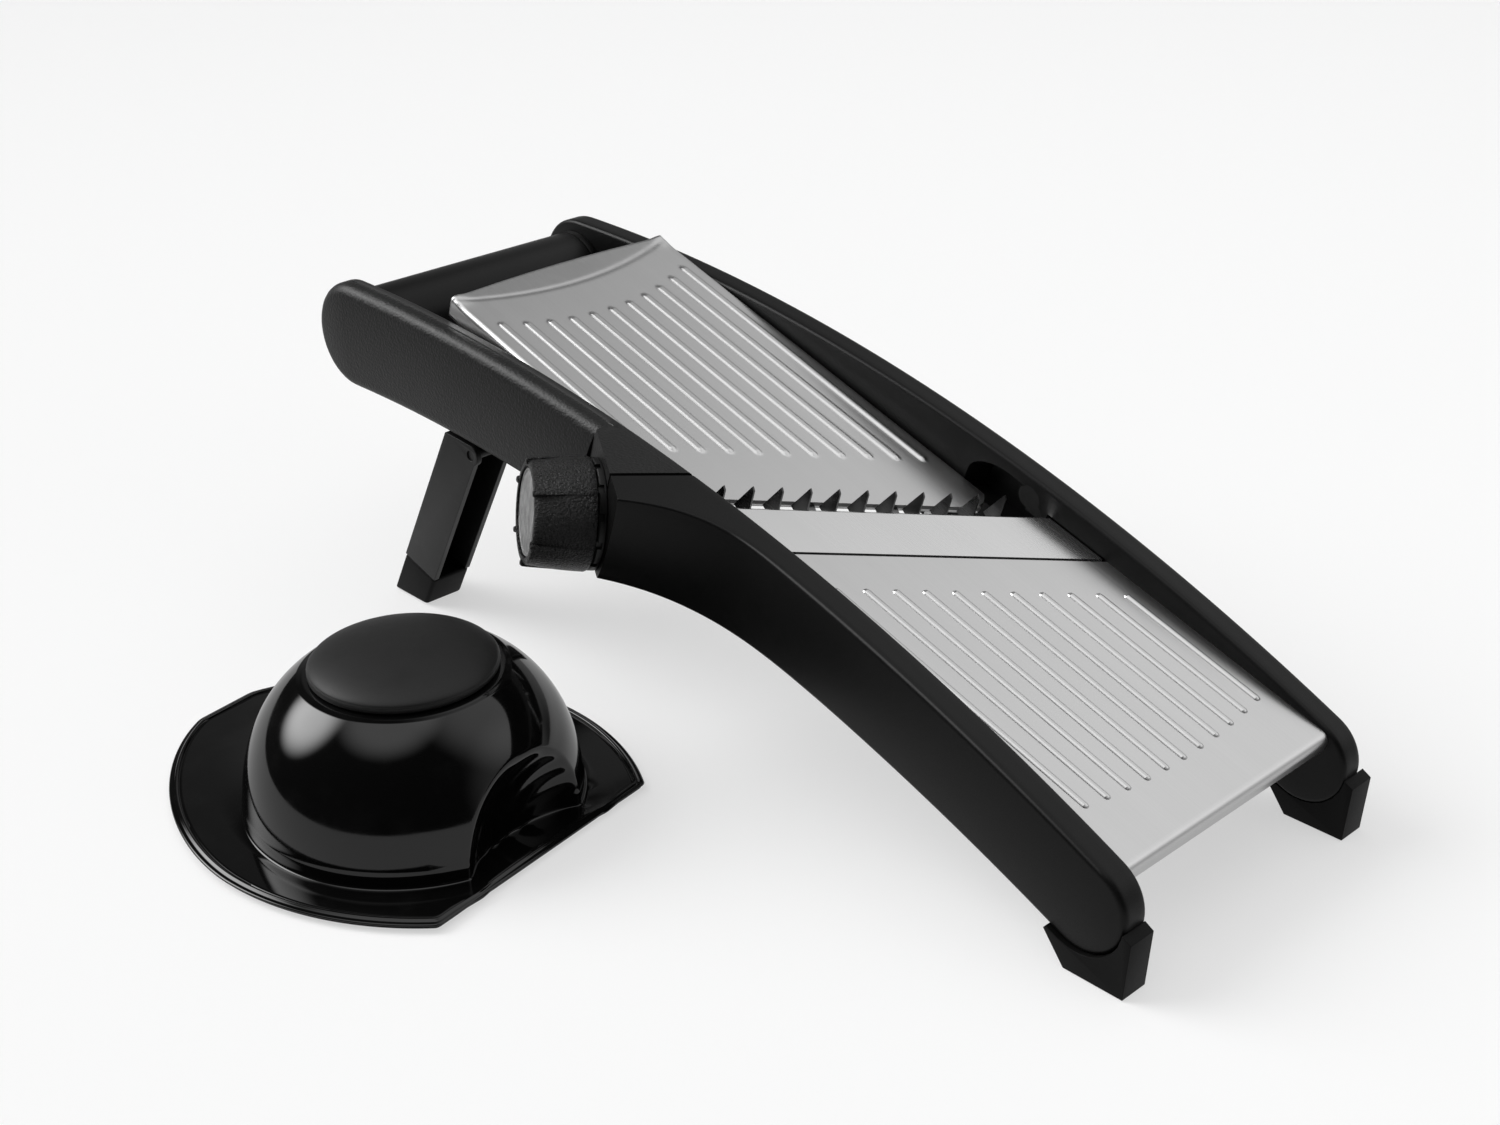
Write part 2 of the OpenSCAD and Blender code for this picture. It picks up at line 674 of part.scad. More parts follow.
// --- julienne comb ---
module comb_bar_shape() {
  q0 = along_q(bar_p, -half_in) + 1;
  q1 = along_q(bar_p, half_in) - 1.6;
  diag() box([bar_p, q0, bar_bottom], [bar_p + bar_t, q1, bar_top]);
}
module comb_teeth() {
  r = tooth_rise;
  color(steel) difference() {
    deck() for (i = [0:tooth_count - 1]) translate([line_u(0, tooth_v(i)), 0, 0])
      along_y(tooth_v(i) - tooth_t / 2, tooth_v(i) + tooth_t / 2)
      polygon([[1.2, -10.5], [7.6, r], [8.8, r - 1.5], [9.2, bar_top - 1.5], [8.6, bar_top - 1.5]]);
    comb_bar_shape();
  }
}
module comb_bar() {
  color(steel) {
    comb_bar_shape();
    diag() for (q = lug_q) {
      box([-7, q - 2, lug_n], [bar_p + bar_t, q + 2, lug_n + lug_t]);
      box([bar_p, q - 2, bar_top], [bar_p + bar_t, q + 2, lug_n]);
    }
  }
}
module comb_guide(s) {
  g = slide_gap;
  p0 = bar_p - g - guide_wall;
  p1 = bar_p + bar_t + g + guide_wall;
  low = bar_bottom - comb_drop - g;
  q_in = s > 0 ? along_q(bar_p, half_in) - 7 : along_q(bar_p, -half_in) + 4.8;
  color(black_plastic) deck() intersection() {
    runway(half_in);
    rotate([0, 0, -skew]) difference() {
      box([p0, min(q_in, s * 90), low - 1.5], [p1, max(q_in, s * 90), bar_top + 1.5]);
      box([bar_p - g, -100, low], [bar_p + bar_t + g, 100, bar_top + 3]);
    }
  }
}
module comb_guide_left() {
  comb_guide(1);
}
module comb_guide_right() {
  comb_guide(-1);
}

// --- rear legs ---
leg_front = 3.5;
module rail_zone() {
  polygon(concat([for (i = [0:12]) edge_pt(i / 24, -1, -leg_top_gap)], [[0, 200], [-300, 200]]));
}
module leg_shape() {
  difference() {
    translate(leg_pivot) rotate(-leg_lean) union() {
      polygon([
        [leg_front - leg_d, -140], [leg_front, -140], [leg_front, 0], [0, knuckle_r], [leg_front - leg_d, 3]
      ]);
      circle(r = knuckle_r);
    }
    rail_zone();
    translate([-400, -200]) square([800, 200]);
  }
}
seam_pt = [
  leg_pivot.x - (leg_pivot.y - sole_h) * tan(leg_lean) + leg_front / cos(leg_lean), sole_h
];
module over_seam() {
  translate(seam_pt) rotate(-sole_tilt) translate([-80, 0]) square([160, 160]);
}
module leg(s) {
  color(black_plastic) side(s) difference() {
    along_y(leg_in, leg_out) intersection() {
      leg_shape();
      over_seam();
    }
    along_y(leg_in + leg_wall, leg_out - leg_wall) translate(leg_pivot) rotate(-leg_lean)
      translate([leg_front - leg_d + leg_wall, -140]) square([leg_d + 5, 170]);
    cyl_y(leg_pivot.x, leg_pivot.y, leg_pin_d / 2 + run_gap, leg_in - 1, leg_out + 1);
  }
}
module leg_foot(s) {
  color(rubber) side(s) along_y(leg_in, leg_out) difference() {
    leg_shape();
    over_seam();
  }
}
module leg_left() {
  leg(1);
}
module leg_right() {
  leg(-1);
}
module leg_foot_left() {
  leg_foot(1);
}
module leg_foot_right() {
  leg_foot(-1);
}
tube_at = [-10, -14];
tube_x = leg_pivot.x + tube_at.x * cos(leg_lean) + tube_at.y * sin(leg_lean);
tube_z = leg_pivot.y - tube_at.x * sin(leg_lean) + tube_at.y * cos(leg_lean);
module leg_crossbar() {
  color(steel) cyl_y(tube_x, tube_z, tube_r, -leg_in, leg_in);
}
ear_y = leg_in - ear_gap - ear_t;
elbow_lift = leg_top_gap + knuckle_r + 1.5;
module leg_bracket(s) {
  color(black_plastic) side(s) difference() {
    union() {
      along_y(ear_y, ear_y + ear_t) {
        translate(leg_pivot) circle(r = 7.5);
        translate([leg_pivot.x - 7.5, leg_pivot.y]) square([15, elbow_lift + 9]);
      }
      along_y(ear_y + ear_t, half_in) translate([leg_pivot.x - 7.5, leg_pivot.y + elbow_lift]) square([15, 9]);
    }
    cyl_y(leg_pivot.x, leg_pivot.y, leg_pin_d / 2 + 0.02, 0, half_out);
  }
}
module leg_bracket_left() {
  leg_bracket(1);
}
module leg_bracket_right() {
  leg_bracket(-1);
}
module leg_pin(s) {
  color(steel) side(s) cyl_y(leg_pivot.x, leg_pivot.y, leg_pin_d / 2, ear_y - 1, leg_out - 0.6);
}
module leg_pin_left() {
  leg_pin(1);
}
module leg_pin_right() {
  leg_pin(-1);
}
foot_outline = [[-13.5, -14.7], [-4.5, -front_h], [19.5, -front_h], [21, -4.2], [17.5, -2.2], [0, 0]];
module front_foot(s) {
  color(rubber) side(s) along_y(half_in + 0.6, half_out) difference() {
    polygon([for (p = foot_outline) rail_front + p]);
    polygon(rail_outline());
  }
}
module front_foot_left() {
  front_foot(1);
}
module front_foot_right() {
  front_foot(-1);
}

// --- food holder ---
module holder() {
  translate([holder_x, -body_w / 2 - holder_out, 0]) rotate([0, 0, holder_yaw]) children();
}
function dome_z(r, top, radius) = top * pow(1 - pow(r / radius, dome_power), 1 / dome_power);
dome_cut = 55.4;
function dome_pts(radius, top, cut) = let (n = 16,
  a1 = acos(min(1, pow(cut / top, dome_power / 2)))) concat(
  [[0, 0]],
  [for (i = [0:n]) let (a = 90 - (90 - a1) * i / n)
    [radius * pow(sin(a), 2 / dome_power), top * pow(cos(a), 2 / dome_power)]],
  [[0, cut]]
);
module scoop(r, back) {
  translate([back, 0, flange_t]) rotate([90, 0, 90]) linear_extrude(height = 100) {
    translate([0, 4]) circle(r = r);
    translate([-r, 0]) square([2 * r, 4]);
  }
}
module holder_shell() {
  w = dome_wall;
  back = dome_r - scoop_out - 3;
  color(gloss_black) holder() difference() {
    union() {
      linear_extrude(height = flange_t) intersection() {
        translate([-5, 28]) circle(r = flange_arc_r, $fn = 96);
        translate([-5, -28]) circle(r = flange_arc_r, $fn = 96);
        translate([-105, -100]) square([170, 200]);
      }
      difference() {
        rotate_extrude($fn = 96) polygon(dome_pts(dome_r, dome_h, dome_cut));
        difference() {
          scoop(scoop_r, back);
          cylinder(r = 20, h = flange_t);
        }
      }
    }
    difference() {
      translate([0, 0, -0.01]) rotate_extrude($fn = 96)
        polygon(dome_pts(dome_r - w, dome_h - w, dome_cut - w));
      scoop(scoop_r + w, back - w);
    }
    cylinder(r = stem_r + 3.5, h = 100);
  }
}
guide_low = 42;
module stem_guide() {
  color(black_plastic) holder() difference() {
    union() {
      translate([0, 0, guide_low]) cylinder(r = stem_r + 3.42, h = dome_cut - guide_low);
      translate([0, 0, dome_cut - dome_wall - 2]) cylinder(r = stem_r + 6, h = 2);
    }
    cylinder(r = stem_r + run_gap, h = 100);
  }
}
module palm_cap() {
  r = palm_d / 2;
  z = dome_cut + 0.6;
  color(soft_black) holder() rotate_extrude($fn = 96) polygon(concat(
    [[0, z], [r - 1, z], [r, z + 1], [r, z + 4]],
    [for (i = [0:8]) let (a = i * 10) [(r - 1) * cos(a), z + 5 + 5.2 * sin(a)]],
    [[0, z + 10.2]]
  ));
}
module plunger_stem() {
  color(black_plastic) holder() translate([0, 0, plate_z + prong_plate_t])
    cylinder(r = stem_r, h = dome_cut + 0.6 - plate_z - prong_plate_t);
}
module prong_plate() {
  color(black_plastic) holder() translate([0, 0, plate_z]) cylinder(r = prong_plate_r, h = prong_plate_t);
}
module prong() {
  translate([0, 0, prong_low + 3]) cylinder(r = prong_r, h = plate_z - prong_low - 3, $fn = 20);
  translate([0, 0, prong_low]) cylinder(r1 = 0.2, r2 = prong_r, h = 3, $fn = 20);
}
module prongs() {
  color(steel) holder() {
    for (i = [0:prong_count - 1]) rotate(i * 360 / prong_count) translate([prong_plate_r - 5, 0, 0]) prong();
    for (i = [0:2]) rotate(i * 120 + 20) translate([10, 0, 0]) prong();
  }
}
spring_r = 11.2;
wire_r = 0.8;
spring_turns = 6;
module holder_spring() {
  z0 = plate_z + prong_plate_t + wire_r + 0.1;
  z1 = guide_low - wire_r - 0.1;
  n = spring_turns * 14;
  color(steel) holder() loft([for (k = [0:n]) let (a = k * 360 / 14, z = z0 + (z1 - z0) * k / n)
    [for (j = [0:4]) let (r = spring_r + wire_r * cos(j * 72)) [r * cos(a), r * sin(a), z - wire_r * sin(j * 72)]]], 0);
}

place() rail_left();
place() rail_right_rear();
place() rail_right_front();
place() hand_bar();
place() runout_plate();
place() runout_bed();
place() blade_seat();
place() comb_guide_left();
place() comb_guide_right();
place() dial_bush();
place() dial_collar();
place() leg_bracket_left();
place() leg_bracket_right();
place() leg_pin_left();
place() leg_pin_right();
place() front_foot_left();
place() front_foot_right();
place() ramp_plate();
place() ramp_frame();
place() guide_rod_upper();
place() guide_rod_lower();
place() dial_grip();
place() dial_face();
place() cam_shaft();
place() comb_teeth();
place() comb_bar();
place() blade();
place() blade_carrier();
place() leg_left();
place() leg_right();
place() leg_crossbar();
place() leg_foot_left();
place() leg_foot_right();
place() holder_shell();
place() stem_guide();
place() palm_cap();
place() plunger_stem();
place() prong_plate();
place() prongs();
place() holder_spring();
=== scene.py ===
"""Looks of a mandoline slicer and its food holder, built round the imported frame.

Pieces are drawn in millimetres, each in the frame that suits it (row, deck, dial shaft or holder), and
one matrix sets every finished mesh into the row frame in metres.
"""
import json
import logging
import math
from dataclasses import dataclass
from enum import Enum
from math import cos, hypot, pi, radians, sin, sqrt
from typing import Iterable, Optional, Sequence, Union

import bmesh
import bpy
from mathutils import Matrix, Vector

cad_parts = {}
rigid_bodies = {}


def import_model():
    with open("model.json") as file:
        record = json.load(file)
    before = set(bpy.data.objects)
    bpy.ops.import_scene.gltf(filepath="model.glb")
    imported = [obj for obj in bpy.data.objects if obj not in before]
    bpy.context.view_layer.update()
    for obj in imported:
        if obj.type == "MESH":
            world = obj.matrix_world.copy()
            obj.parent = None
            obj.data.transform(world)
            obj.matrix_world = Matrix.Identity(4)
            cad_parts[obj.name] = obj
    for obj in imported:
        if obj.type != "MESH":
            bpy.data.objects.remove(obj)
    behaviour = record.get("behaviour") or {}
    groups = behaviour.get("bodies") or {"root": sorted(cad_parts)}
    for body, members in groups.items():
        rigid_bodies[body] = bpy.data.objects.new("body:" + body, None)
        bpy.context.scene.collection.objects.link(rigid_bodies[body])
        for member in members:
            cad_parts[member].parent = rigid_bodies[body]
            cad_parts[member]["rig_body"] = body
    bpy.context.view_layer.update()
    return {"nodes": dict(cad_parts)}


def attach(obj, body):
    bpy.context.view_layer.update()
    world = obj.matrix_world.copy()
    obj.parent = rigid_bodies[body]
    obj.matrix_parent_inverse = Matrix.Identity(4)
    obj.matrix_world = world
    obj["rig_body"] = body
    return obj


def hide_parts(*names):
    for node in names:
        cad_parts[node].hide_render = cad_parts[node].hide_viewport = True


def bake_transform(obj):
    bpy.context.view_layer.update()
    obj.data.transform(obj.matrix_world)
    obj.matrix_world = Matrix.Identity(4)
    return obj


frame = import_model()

LOG = logging.getLogger("slicer")
# Point attribute that masks a painted highlight along the right rail's outer top edge.
MARK = "painted_edge_highlight"
Colour = tuple[float, float, float]
Number = Union[int, float]
MM = 0.001
WHOLE = Matrix.Identity(4)

SLOPE = radians(18.2)
SKEW = radians(30.5)
DECK_Z = 97.869
SHAFT = Vector((-3.2, -94.73, -21.0))
ROW = Matrix.Scale(MM, 4) @ Matrix.Translation((-176.535, 63.65, 0.0))
DECK = ROW @ Matrix.Translation((0.0, 0.0, DECK_Z)) @ Matrix.Rotation(SLOPE, 4, "Y")
BLADE = DECK @ Matrix.Rotation(-SKEW, 4, "Z")
DIAL = BLADE @ Matrix.Translation(SHAFT) @ Matrix.Rotation(pi / 2, 4, "X")
HOLDER = ROW @ Matrix.Translation((-68.0, -160.4, 0.0)) @ Matrix.Rotation(radians(9.3), 4, "Z")


class Slot(Enum):
    """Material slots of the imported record."""

    SOFT_BLACK = "soft_black"
    BLACK_PLASTIC = "black_plastic"
    GLOSS_BLACK = "gloss_black"
    STEEL = "steel"
    PALE_DISC = "pale_disc"
    RUBBER = "rubber"


class Side(Enum):
    """The two sides of the slicer, by the sign of Y."""

    LEFT = 1
    RIGHT = -1


# --- shader maths ---
class Val:
    """A shader socket on which Python's operators add Math nodes."""

    def __init__(self, net: "Net", socket: bpy.types.NodeSocket) -> None:
        """Keeps the socket and the net that it belongs to."""
        self.net = net
        self.socket = socket

    def _math(self, operation: str, a: "Val | Number", b: "Val | Number") -> "Val":
        """Result of one Math node on two values."""
        return self.net.node("Math", {"operation": operation}, {0: a, 1: b})

    def __add__(self, other: "Val | Number") -> "Val":
        """Sum."""
        return self._math("ADD", self, other)

    __radd__ = __add__

    def __sub__(self, other: "Val | Number") -> "Val":
        """Difference."""
        return self._math("SUBTRACT", self, other)

    def __rsub__(self, other: "Val | Number") -> "Val":
        """Difference from the other value."""
        return self._math("SUBTRACT", other, self)

    def __mul__(self, other: "Val | Number") -> "Val":
        """Product."""
        return self._math("MULTIPLY", self, other)

    __rmul__ = __mul__

    def ramp(self, low: float, high: float) -> "Val":
        """Smooth step from 0 at low to 1 at high."""
        sockets = {0: self, 1: low, 2: high, 3: 0.0, 4: 1.0}
        return self.net.node("MapRange", {"interpolation_type": "SMOOTHSTEP"}, sockets)


class Net:
    """One material's node tree with a Principled shader, or the world's tree."""

    def __init__(self, name: str, world: Optional[bpy.types.World] = None) -> None:
        """Makes the material, or takes the world.

        Args:
            name: The material's name.
            world: The world, where the tree is the world's.
        """
        self.material = world or bpy.data.materials.new(name)
        self.material.use_nodes = True
        self.tree = self.material.node_tree
        self.shader = self.tree.nodes["Background" if world else "Principled BSDF"]

    def node(self, kind: str, settings: dict, sockets: dict, out: Union[int, str] = 0) -> Val:
        """Adds a node.

        Args:
            kind: The node's type, without ShaderNode before it.
            settings: Its properties, set before the sockets.
            sockets: Values or links by socket name or number.
            out: Which output is wanted.

        Returns:
            The wanted output.
        """
        made = self.tree.nodes.new(f"ShaderNode{kind}")
        for key, value in settings.items():
            setattr(made, key, value)
        for key, value in sockets.items():
            self.feed(made.inputs[key], value)
        return Val(self, made.outputs[out])

    def feed(self, socket: bpy.types.NodeSocket, value: "Val | Number | Sequence") -> None:
        """Sets a socket to a value or links it.

        Args:
            socket: The socket to set.
            value: A value, a vector or colour, or another node's output.
        """
        if isinstance(value, Val):
            self.tree.links.new(value.socket, socket)
        elif isinstance(value, (int, float)):
            socket.default_value = value
        else:
            is_colour = socket.type == "RGBA" and len(value) == 3
            socket.default_value = (*value, 1.0) if is_colour else tuple(value)

    def set(self, **values: "Val | Number | Sequence") -> None:
        """Sets the shader's sockets, by their names with _ for a space."""
        for key, value in values.items():
            self.feed(self.shader.inputs[key.replace("_", " ").title().replace("Ior", "IOR")], value)

    def coords(self, scale: Sequence[float] = (1, 1, 1), turn: Sequence[float] = (0, 0, 0)) -> Val:
        """Object coordinates, turned and then scaled.

        Args:
            scale: Scale on each axis after the turn.
            turn: Turn about X, Y and Z in radians.

        Returns:
            The coordinates.
        """
        base = self.node("TexCoord", {}, {}, "Object")
        if any(turn):
            base = self.node("Mapping", {}, {"Vector": base, "Rotation": turn})
        return self.node("Mapping", {}, {"Vector": base, "Scale": scale})

    def noise(self, vector: Val, scale: float, detail: float, rough: float) -> Val:
        """Noise in 0 to 1; detail gives its octaves and rough the strength of the finer ones."""
        sockets = {"Vector": vector, "Scale": scale, "Detail": detail, "Roughness": rough}
        return self.node("TexNoise", {}, sockets)

    def cells(self, vector: Val, scale: float) -> Val:
        """Smooth cell distance, for moulded grain."""
        sockets = {"Vector": vector, "Scale": scale, "Smoothness": 1.0}
        return self.node("TexVoronoi", {"feature": "SMOOTH_F1"}, sockets)

    def polished(self) -> Val:
        """How much painted highlight a point takes, from the mesh's own mark."""
        return self.node("Attribute", {"attribute_name": MARK}, {}, "Fac")

    def mix(self, factor: "Val | Number", a: "Val | Sequence", b: "Val | Sequence") -> Val:
        """Mix of two colours, from a at a factor of 0 to b at 1."""
        return self.node("Mix", {"data_type": "RGBA"}, {0: factor, 6: a, 7: b}, 2)

    def rays(self) -> tuple[Val, Val]:
        """Whether a ray comes from the camera, and whether a surface mirrored it."""
        outs = self.node("LightPath", {}, {}).socket.node.outputs
        return Val(self, outs["Is Camera Ray"]), Val(self, outs["Is Glossy Ray"])

    def bump(self, height: Val, distance: float) -> Val:
        """Normal of a surface whose height of 1 stands a distance in metres out of it."""
        return self.node("Bump", {}, {"Height": height, "Distance": distance, "Strength": 1.0})


def grey(value: float) -> Colour:
    """A neutral colour."""
    return (value, value, value)


# --- finishes ---
@dataclass(frozen=True)
class Finish:
    """A named surface; each kind wires its own shader."""

    name: str

    def wire(self, net: Net) -> None:
        """Wires the shader of a net."""
        raise NotImplementedError

    def material(self) -> bpy.types.Material:
        """Builds the material.

        Returns:
            The material.
        """
        net = Net(self.name)
        self.wire(net)
        return net.material


@dataclass(frozen=True)
class MouldedFinish(Finish):
    """Moulded plastic or rubber with a fine grain.

    Attributes:
        tone: Linear grey of the base.
        rough: Roughness in the mean.
        grain: Size of a grain in metres.
        depth: Depth of the grain in metres.
        specular: Specular level.
        highlight_tone: Linear grey of the painted highlight on a marked edge.
        handled: How much smoother the handled patches are.
    """

    tone: float
    rough: float
    grain: float
    depth: float
    specular: float
    highlight_tone: float = 0.07
    handled: float = 0.048

    def wire(self, net: Net) -> None:
        """Grain, broad tone, pale specks, handled patches and a painted highlight on marked edges.

        Args:
            net: The material's net.
        """
        place = net.coords()
        grain = net.cells(place, 1 / self.grain)
        fine = net.noise(place, 2.4 / self.grain, 3.0, 0.6)
        broad = net.noise(place, 26.0, 4.0, 0.6)
        patches = net.noise(place, 90.0, 5.0, 0.7).ramp(0.48, 0.74)
        specks = fine.ramp(0.55, 0.8) * 0.5
        dark = net.mix(broad, grey(self.tone * 0.86), grey(self.tone * 1.16))
        speckled = net.mix(specks, dark, grey(self.tone * 1.7 + 0.004))
        # Painted highlight on the marked edge, lighter where the fine noise is high.
        edge_highlight = net.polished() * (0.7 + fine * 0.6)
        uneven = (broad - 0.5) * 0.12 + (fine - 0.5) * 0.1
        net.set(
            base_color=net.mix(edge_highlight, speckled, grey(self.highlight_tone)),
            roughness=self.rough + uneven - patches * self.handled,
            normal=net.bump(grain * 0.7 + fine * 0.5, self.depth),
            specular_ior_level=self.specular,
        )


@dataclass(frozen=True)
class PanelledFinish(Finish):
    """Soft-touch rail with a coarser grip panel on its outer side behind the dial."""

    tone: float = 0.0095
    rough: float = 0.4
    specular: float = 0.32
    fine_grain: float = 0.00042
    panel_grain: float = 0.001
    depth: float = 0.00016
    panel_edge: tuple[float, float] = (-0.0024, -0.0018)
    highlight_tone: float = 0.07

    def wire(self, net: Net) -> None:
        """Two grains, the panel's dust and a painted highlight on marked edges.

        Args:
            net: The material's net.
        """
        place = net.coords()
        split = net.node("SeparateXYZ", {}, {0: place}, "Y")
        panel = (0.0 - split).ramp(*self.panel_edge)
        fine = net.cells(place, 1 / self.fine_grain)
        coarse = net.cells(place, 1 / self.panel_grain)
        dust = net.noise(place, 2.2 / self.panel_grain, 3.0, 0.65)
        broad = net.noise(place, 22.0, 4.0, 0.6)
        dark = net.mix(broad, grey(self.tone * 0.85), grey(self.tone * 1.18))
        pale = net.mix(dust.ramp(0.5, 0.82), dark, grey(self.tone * 2.3))
        # Painted highlight on the marked edge, lighter where the dust noise is high.
        edge_highlight = net.polished() * (0.35 + dust * 0.5)
        net.set(
            base_color=net.mix(edge_highlight, net.mix(panel * 0.75, dark, pale), grey(self.highlight_tone)),
            roughness=self.rough + panel * 0.05 + (dust - 0.5) * 0.12 + (broad - 0.5) * 0.1,
            normal=net.bump(fine * (1 - panel) * 0.5 + coarse * panel + dust * panel * 0.4, self.depth),
            specular_ior_level=self.specular,
        )


@dataclass(frozen=True)
class BrushedFinish(Finish):
    """Steel brushed along one direction.

    Attributes:
        tone: Linear grey of the metal.
        rough: Roughness in the mean.
        turn: Turn about Y that brings the brushing along X.
        spin: Turn about Z that does.
        along: Scale of the streaks along the brushing.
        across: Scale of the streaks across it.
        depth: Depth of the streaks in metres.
    """

    tone: float
    rough: float
    turn: float = 0.0
    spin: float = 0.0
    along: float = 9.0
    across: float = 2600.0
    depth: float = 0.000004

    def wire(self, net: Net) -> None:
        """Hair lines, wide bands, clouds and rare scratches.

        Args:
            net: The material's net.
        """
        way = (0.0, self.turn, self.spin)
        streaks = net.coords((self.along, self.across, self.across), way)
        wide = net.coords((self.along * 0.4, self.across * 0.05, self.across * 0.05), way)
        plain = net.coords()
        hair = net.noise(streaks, 1.0, 3.0, 0.6)
        band = net.noise(wide, 1.0, 3.0, 0.5)
        cloud = net.noise(plain, 18.0, 4.0, 0.55)
        skewed = net.coords((60.0, 900.0, 900.0), (0.0, self.turn, self.spin + 0.2))
        scratches = net.noise(skewed, 1.0, 2.0, 0.5).ramp(0.68, 0.78)
        shade = hair * 0.6 + band * 0.25 + cloud * 0.15
        net.set(
            base_color=net.mix(shade, grey(self.tone * 0.9), grey(min(1.0, self.tone * 1.1))),
            metallic=1.0,
            roughness=self.rough + (hair - 0.5) * 0.16 + (cloud - 0.5) * 0.1 + scratches * 0.06,
            normal=net.bump(hair + scratches * 0.4, self.depth),
        )


@dataclass(frozen=True)
class GlossFinish(Finish):
    """Polished moulded plastic."""

    tone: float = 0.003
    rough: float = 0.07
    depth: float = 0.00006

    def wire(self, net: Net) -> None:
        """Faint ripples, a thin film of dust and hairline scratches.

        Args:
            net: The material's net.
        """
        place = net.coords()
        ripple = net.noise(place, 34.0, 2.0, 0.4)
        film = net.noise(place, 60.0, 5.0, 0.6).ramp(0.45, 0.8)
        scratched = net.coords((2500.0, 160.0, 160.0), (0.3, 0.2, 0.7))
        marks = net.noise(scratched, 1.0, 2.0, 0.5).ramp(0.7, 0.8)
        net.set(
            base_color=net.mix(film, grey(self.tone), grey(self.tone * 1.9)),
            roughness=self.rough + film * 0.05 + marks * 0.07,
            normal=net.bump(ripple + marks * 0.02, self.depth),
            specular_ior_level=0.5,
        )


@dataclass(frozen=True)
class DiscFinish(Finish):
    """Pale disc, mottled and stained."""

    tone: float = 0.27
    rough: float = 0.42
    depth: float = 0.00008

    def wire(self, net: Net) -> None:
        """Mottling under a few darker stains.

        Args:
            net: The material's net.
        """
        place = net.coords()
        mottle = net.noise(net.coords((1.0, 1.0, 0.35)), 520.0, 5.0, 0.75).ramp(0.3, 0.7)
        stain = net.noise(place, 190.0, 3.0, 0.6).ramp(0.5, 0.62)
        dark = net.mix(mottle, grey(self.tone * 0.35), grey(self.tone * 1.5))
        net.set(
            base_color=net.mix(stain * 0.5, dark, grey(self.tone * 0.5)),
            metallic=0.25,
            roughness=self.rough + (mottle - 0.5) * 0.3,
            normal=net.bump(mottle, self.depth),
        )


class Finishes:
    """Every finish, made once."""

    def __init__(self) -> None:
        """Makes the materials."""
        self.rail = MouldedFinish("soft_touch_rail", 0.005, 0.38, 0.0004, 0.00004, 0.2).material()
        self.panel = PanelledFinish("soft_touch_panel").material()
        self.cap = MouldedFinish("soft_touch_cap", 0.012, 0.5, 0.0005, 0.00003, 0.3).material()
        self.grip = MouldedFinish("grained_dial", 0.0035, 0.3, 0.0009, 0.0011, 0.42).material()
        self.satin = MouldedFinish("satin_black", 0.0085, 0.42, 0.0006, 0.00002, 0.3).material()
        self.inner = MouldedFinish("moulded_black", 0.009, 0.5, 0.0005, 0.00003, 0.3).material()
        self.rubber = MouldedFinish("black_rubber", 0.004, 0.5, 0.0006, 0.00003, 0.12).material()
        self.gloss = GlossFinish("polished_black").material()
        self.plate = BrushedFinish("brushed_plate", 0.66, 0.33, -SLOPE).material()
        self.blade = BrushedFinish("ground_blade", 0.74, 0.26, -SLOPE, -0.05).material()
        self.bright = BrushedFinish("bright_steel", 0.7, 0.22, across=1500.0).material()
        self.dark_steel = BrushedFinish("dark_ground_steel", 0.16, 0.3, -SLOPE).material()
        self.wire = BrushedFinish("spring_wire", 0.6, 0.25, across=2200.0).material()
        self.disc = DiscFinish("pale_disc").material()


